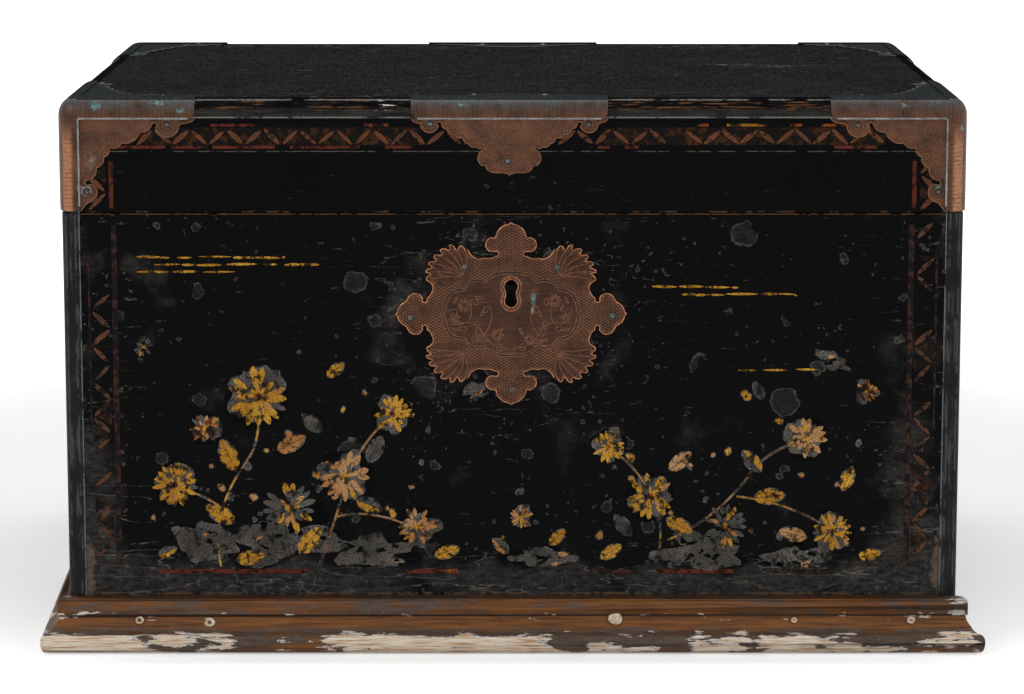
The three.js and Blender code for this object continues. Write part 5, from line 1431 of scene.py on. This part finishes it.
# Parts whose shape is right in the frame, with their facets smoothed
def small_parts():
    """The handles, hinges and mouldings as smooth copies, the nails of the hinges and the filler."""
    endings = ("bail", "post", "pin", "rosette", "hinge_case_leaf", "hinge_lid_leaf", "base_moulding")
    bodies = {node: body for body, nodes in frame["record"]["behaviour"]["bodies"].items() for node in nodes}
    slots = {part["node"]: part["material_slot"] for part in frame["record"]["subparts"]}
    unplaced = Matrix.Scale(1 / MM, 4) @ Matrix.Translation(-ORIGIN)
    for name, node in frame["nodes"].items():
        if name.endswith(endings):
            bm = bmesh.new()
            bm.from_mesh(node.data)
            bmesh.ops.transform(bm, matrix=unplaced, verts=bm.verts)
            for face in bm.faces:
                face.material_index = 0
            finish = node.data.materials[0]
            piece(f"{name}_smooth", bm, [finish], bodies[name], slots[name], [name], 40)
    hinge_nails = {"case": bmesh.new(), "lid": bmesh.new()}
    for side in ("left", "right"):
        for body, bm in hinge_nails.items():
            low, high = reach(f"{side}_hinge_{body}_leaf")
            row = low.z + 5.5 if body == "case" else high.z - 5.5
            for x in (low.x + 6, high.x - 6):
                nail(bm, UP_BACK, Vector((x, high.y, row)))
    for body, bm in hinge_nails.items():
        piece(f"{body}_hinge_nails", bm, [nail_iron, groove_copper], body, "iron", smooth=50)
    # plugs of filler over the nails of the base
    dots = bmesh.new()
    tilt = Matrix(((1, 0, 0), (0, 0.35, 0.94), (0, -0.94, 0.35)))
    for x, z, radius, sunk in (
        (-250.5, 21, 3.0, 0.55), (-203.5, 19.4, 3.6, 0.4), (69, 22, 4.8, 0.0), (189, 21, 2.2, 0.3),
        (267.5, 21, 2.8, 0.3),
    ):
        spot = Vector((x, -7.6, z))
        on_face(dots, lump(radius * 2, radius * 1.7, 0.5, x, 0.12, 18, 0.5), tilt, spot, 0)
        if sunk:
            middle = lump(radius * 2 * sunk, radius * 1.7 * sunk, 0.1, x + 1, 0.12, 14, 0.2)
            on_face(dots, middle, tilt, spot + tilt.transposed() @ Vector((0, 0, 0.48)), 1)
    piece("base_filler_plugs", dots, [filler, base_wood_x], "case", "base_wood", smooth=60)


lid_beads()
corner_beads()
for end in ("front", "back"):
    corner_mounts(end)
    centre_mount(end)
escutcheon()
borders()
gold_work()
small_parts()


# Stage: floor, light and the camera
def seen_directly(nodes):
    """1 for the rays of the camera, and of metal and glass, and 0 for those that light things."""
    path = nodes.add("LightPath").node.outputs
    seen = nodes.add("most", path["Is Camera Ray"], path["Is Glossy Ray"])
    return nodes.add("most", seen, path["Is Transmission Ray"])


def backdrop():
    """A white floor: the camera, metal and glass see it lit from within, less round the chest as a painted
    shadow, and it keeps shadows.
    """
    f = Nodes(bpy.data.materials.new("pale_studio_floor"))
    seen = seen_directly(f)
    place = f.add("TexCoord", out="Object")
    # the glow is lower beside and behind the chest, a painted shadow, and full in front of it
    away = f.add("distance", place, (0, 0.36, 0))
    glow = f.add("fade", away, 0.46, 1.1, 0.31, 1.0)
    near = f.add("fade", f.add("SeparateXYZ", place, out=1), -0.2, -0.3)
    glow = f.add("most", glow, near)
    matt = f.add("BsdfPrincipled", {"Base Color": "#e9e9e9", "Roughness": 0.9})
    light = f.add("Emission", "#ffffff", f.add("times", seen, glow))
    f.add("OutputMaterial", {"Surface": f.add("AddShader", matt, light)})
    return f.owner


def stage():
    """The floor and an even white room."""
    mesh = bpy.data.meshes.new("studio_floor")
    bm = bmesh.new()
    bmesh.ops.create_grid(bm, x_segments=1, y_segments=1, size=7)
    bmesh.ops.translate(bm, vec=(0, 0, -0.0005), verts=bm.verts)
    bm.to_mesh(mesh)
    bm.free()
    mesh.materials.append(backdrop())
    floor = linked("studio_floor", mesh)
    bpy.context.scene.world = bpy.data.worlds.new("studio")
    w = Nodes(bpy.context.scene.world)
    share = w.add("range", seen_directly(w), 0, 1, 0.42, 1.0)
    w.add("OutputWorld", {"Surface": w.add("Background", "#ffffff", share)})


def lamp(name, spot, target, width, height, power):
    """A soft box, in metres and watts, that faces a target."""
    data = bpy.data.lights.new(name, "AREA")
    data.shape = "RECTANGLE"
    data.size, data.size_y = width, height
    data.energy = power
    made = linked(name, data)
    made.location = spot
    made.rotation_euler = (Vector(target) - Vector(spot)).to_track_quat("-Z", "Y").to_euler()


def camera():
    """Lens, pitch and place, and the shift in pixels, fitted to a frame of 1024 by 694 pixels."""
    data = bpy.data.cameras.new("camera")
    data.sensor_width, data.lens = 36, 125.26
    data.shift_x, data.shift_y = -0.7 / 1024, -22 / 1024
    made = linked("camera", data)
    made.location = ORIGIN + Vector((0, -2335, 609.7)) * MM
    made.rotation_euler = (math.radians(90 - 9.46), 0, 0)
    bpy.context.scene.camera = made


stage()
lamp("key", (-1.7, -1.7, 1.8), (0, 0, 0.25), 1.0, 1.4, 15)
lamp("fill", (1.8, -1.5, 1.5), (0, 0, 0.25), 1.0, 1.4, 11)
lamp("overhead", (0, 0.3, 2.4), (0, 0, 0.3), 1.8, 1.2, 16)
camera()
bpy.context.scene.view_settings.view_transform = "Standard"
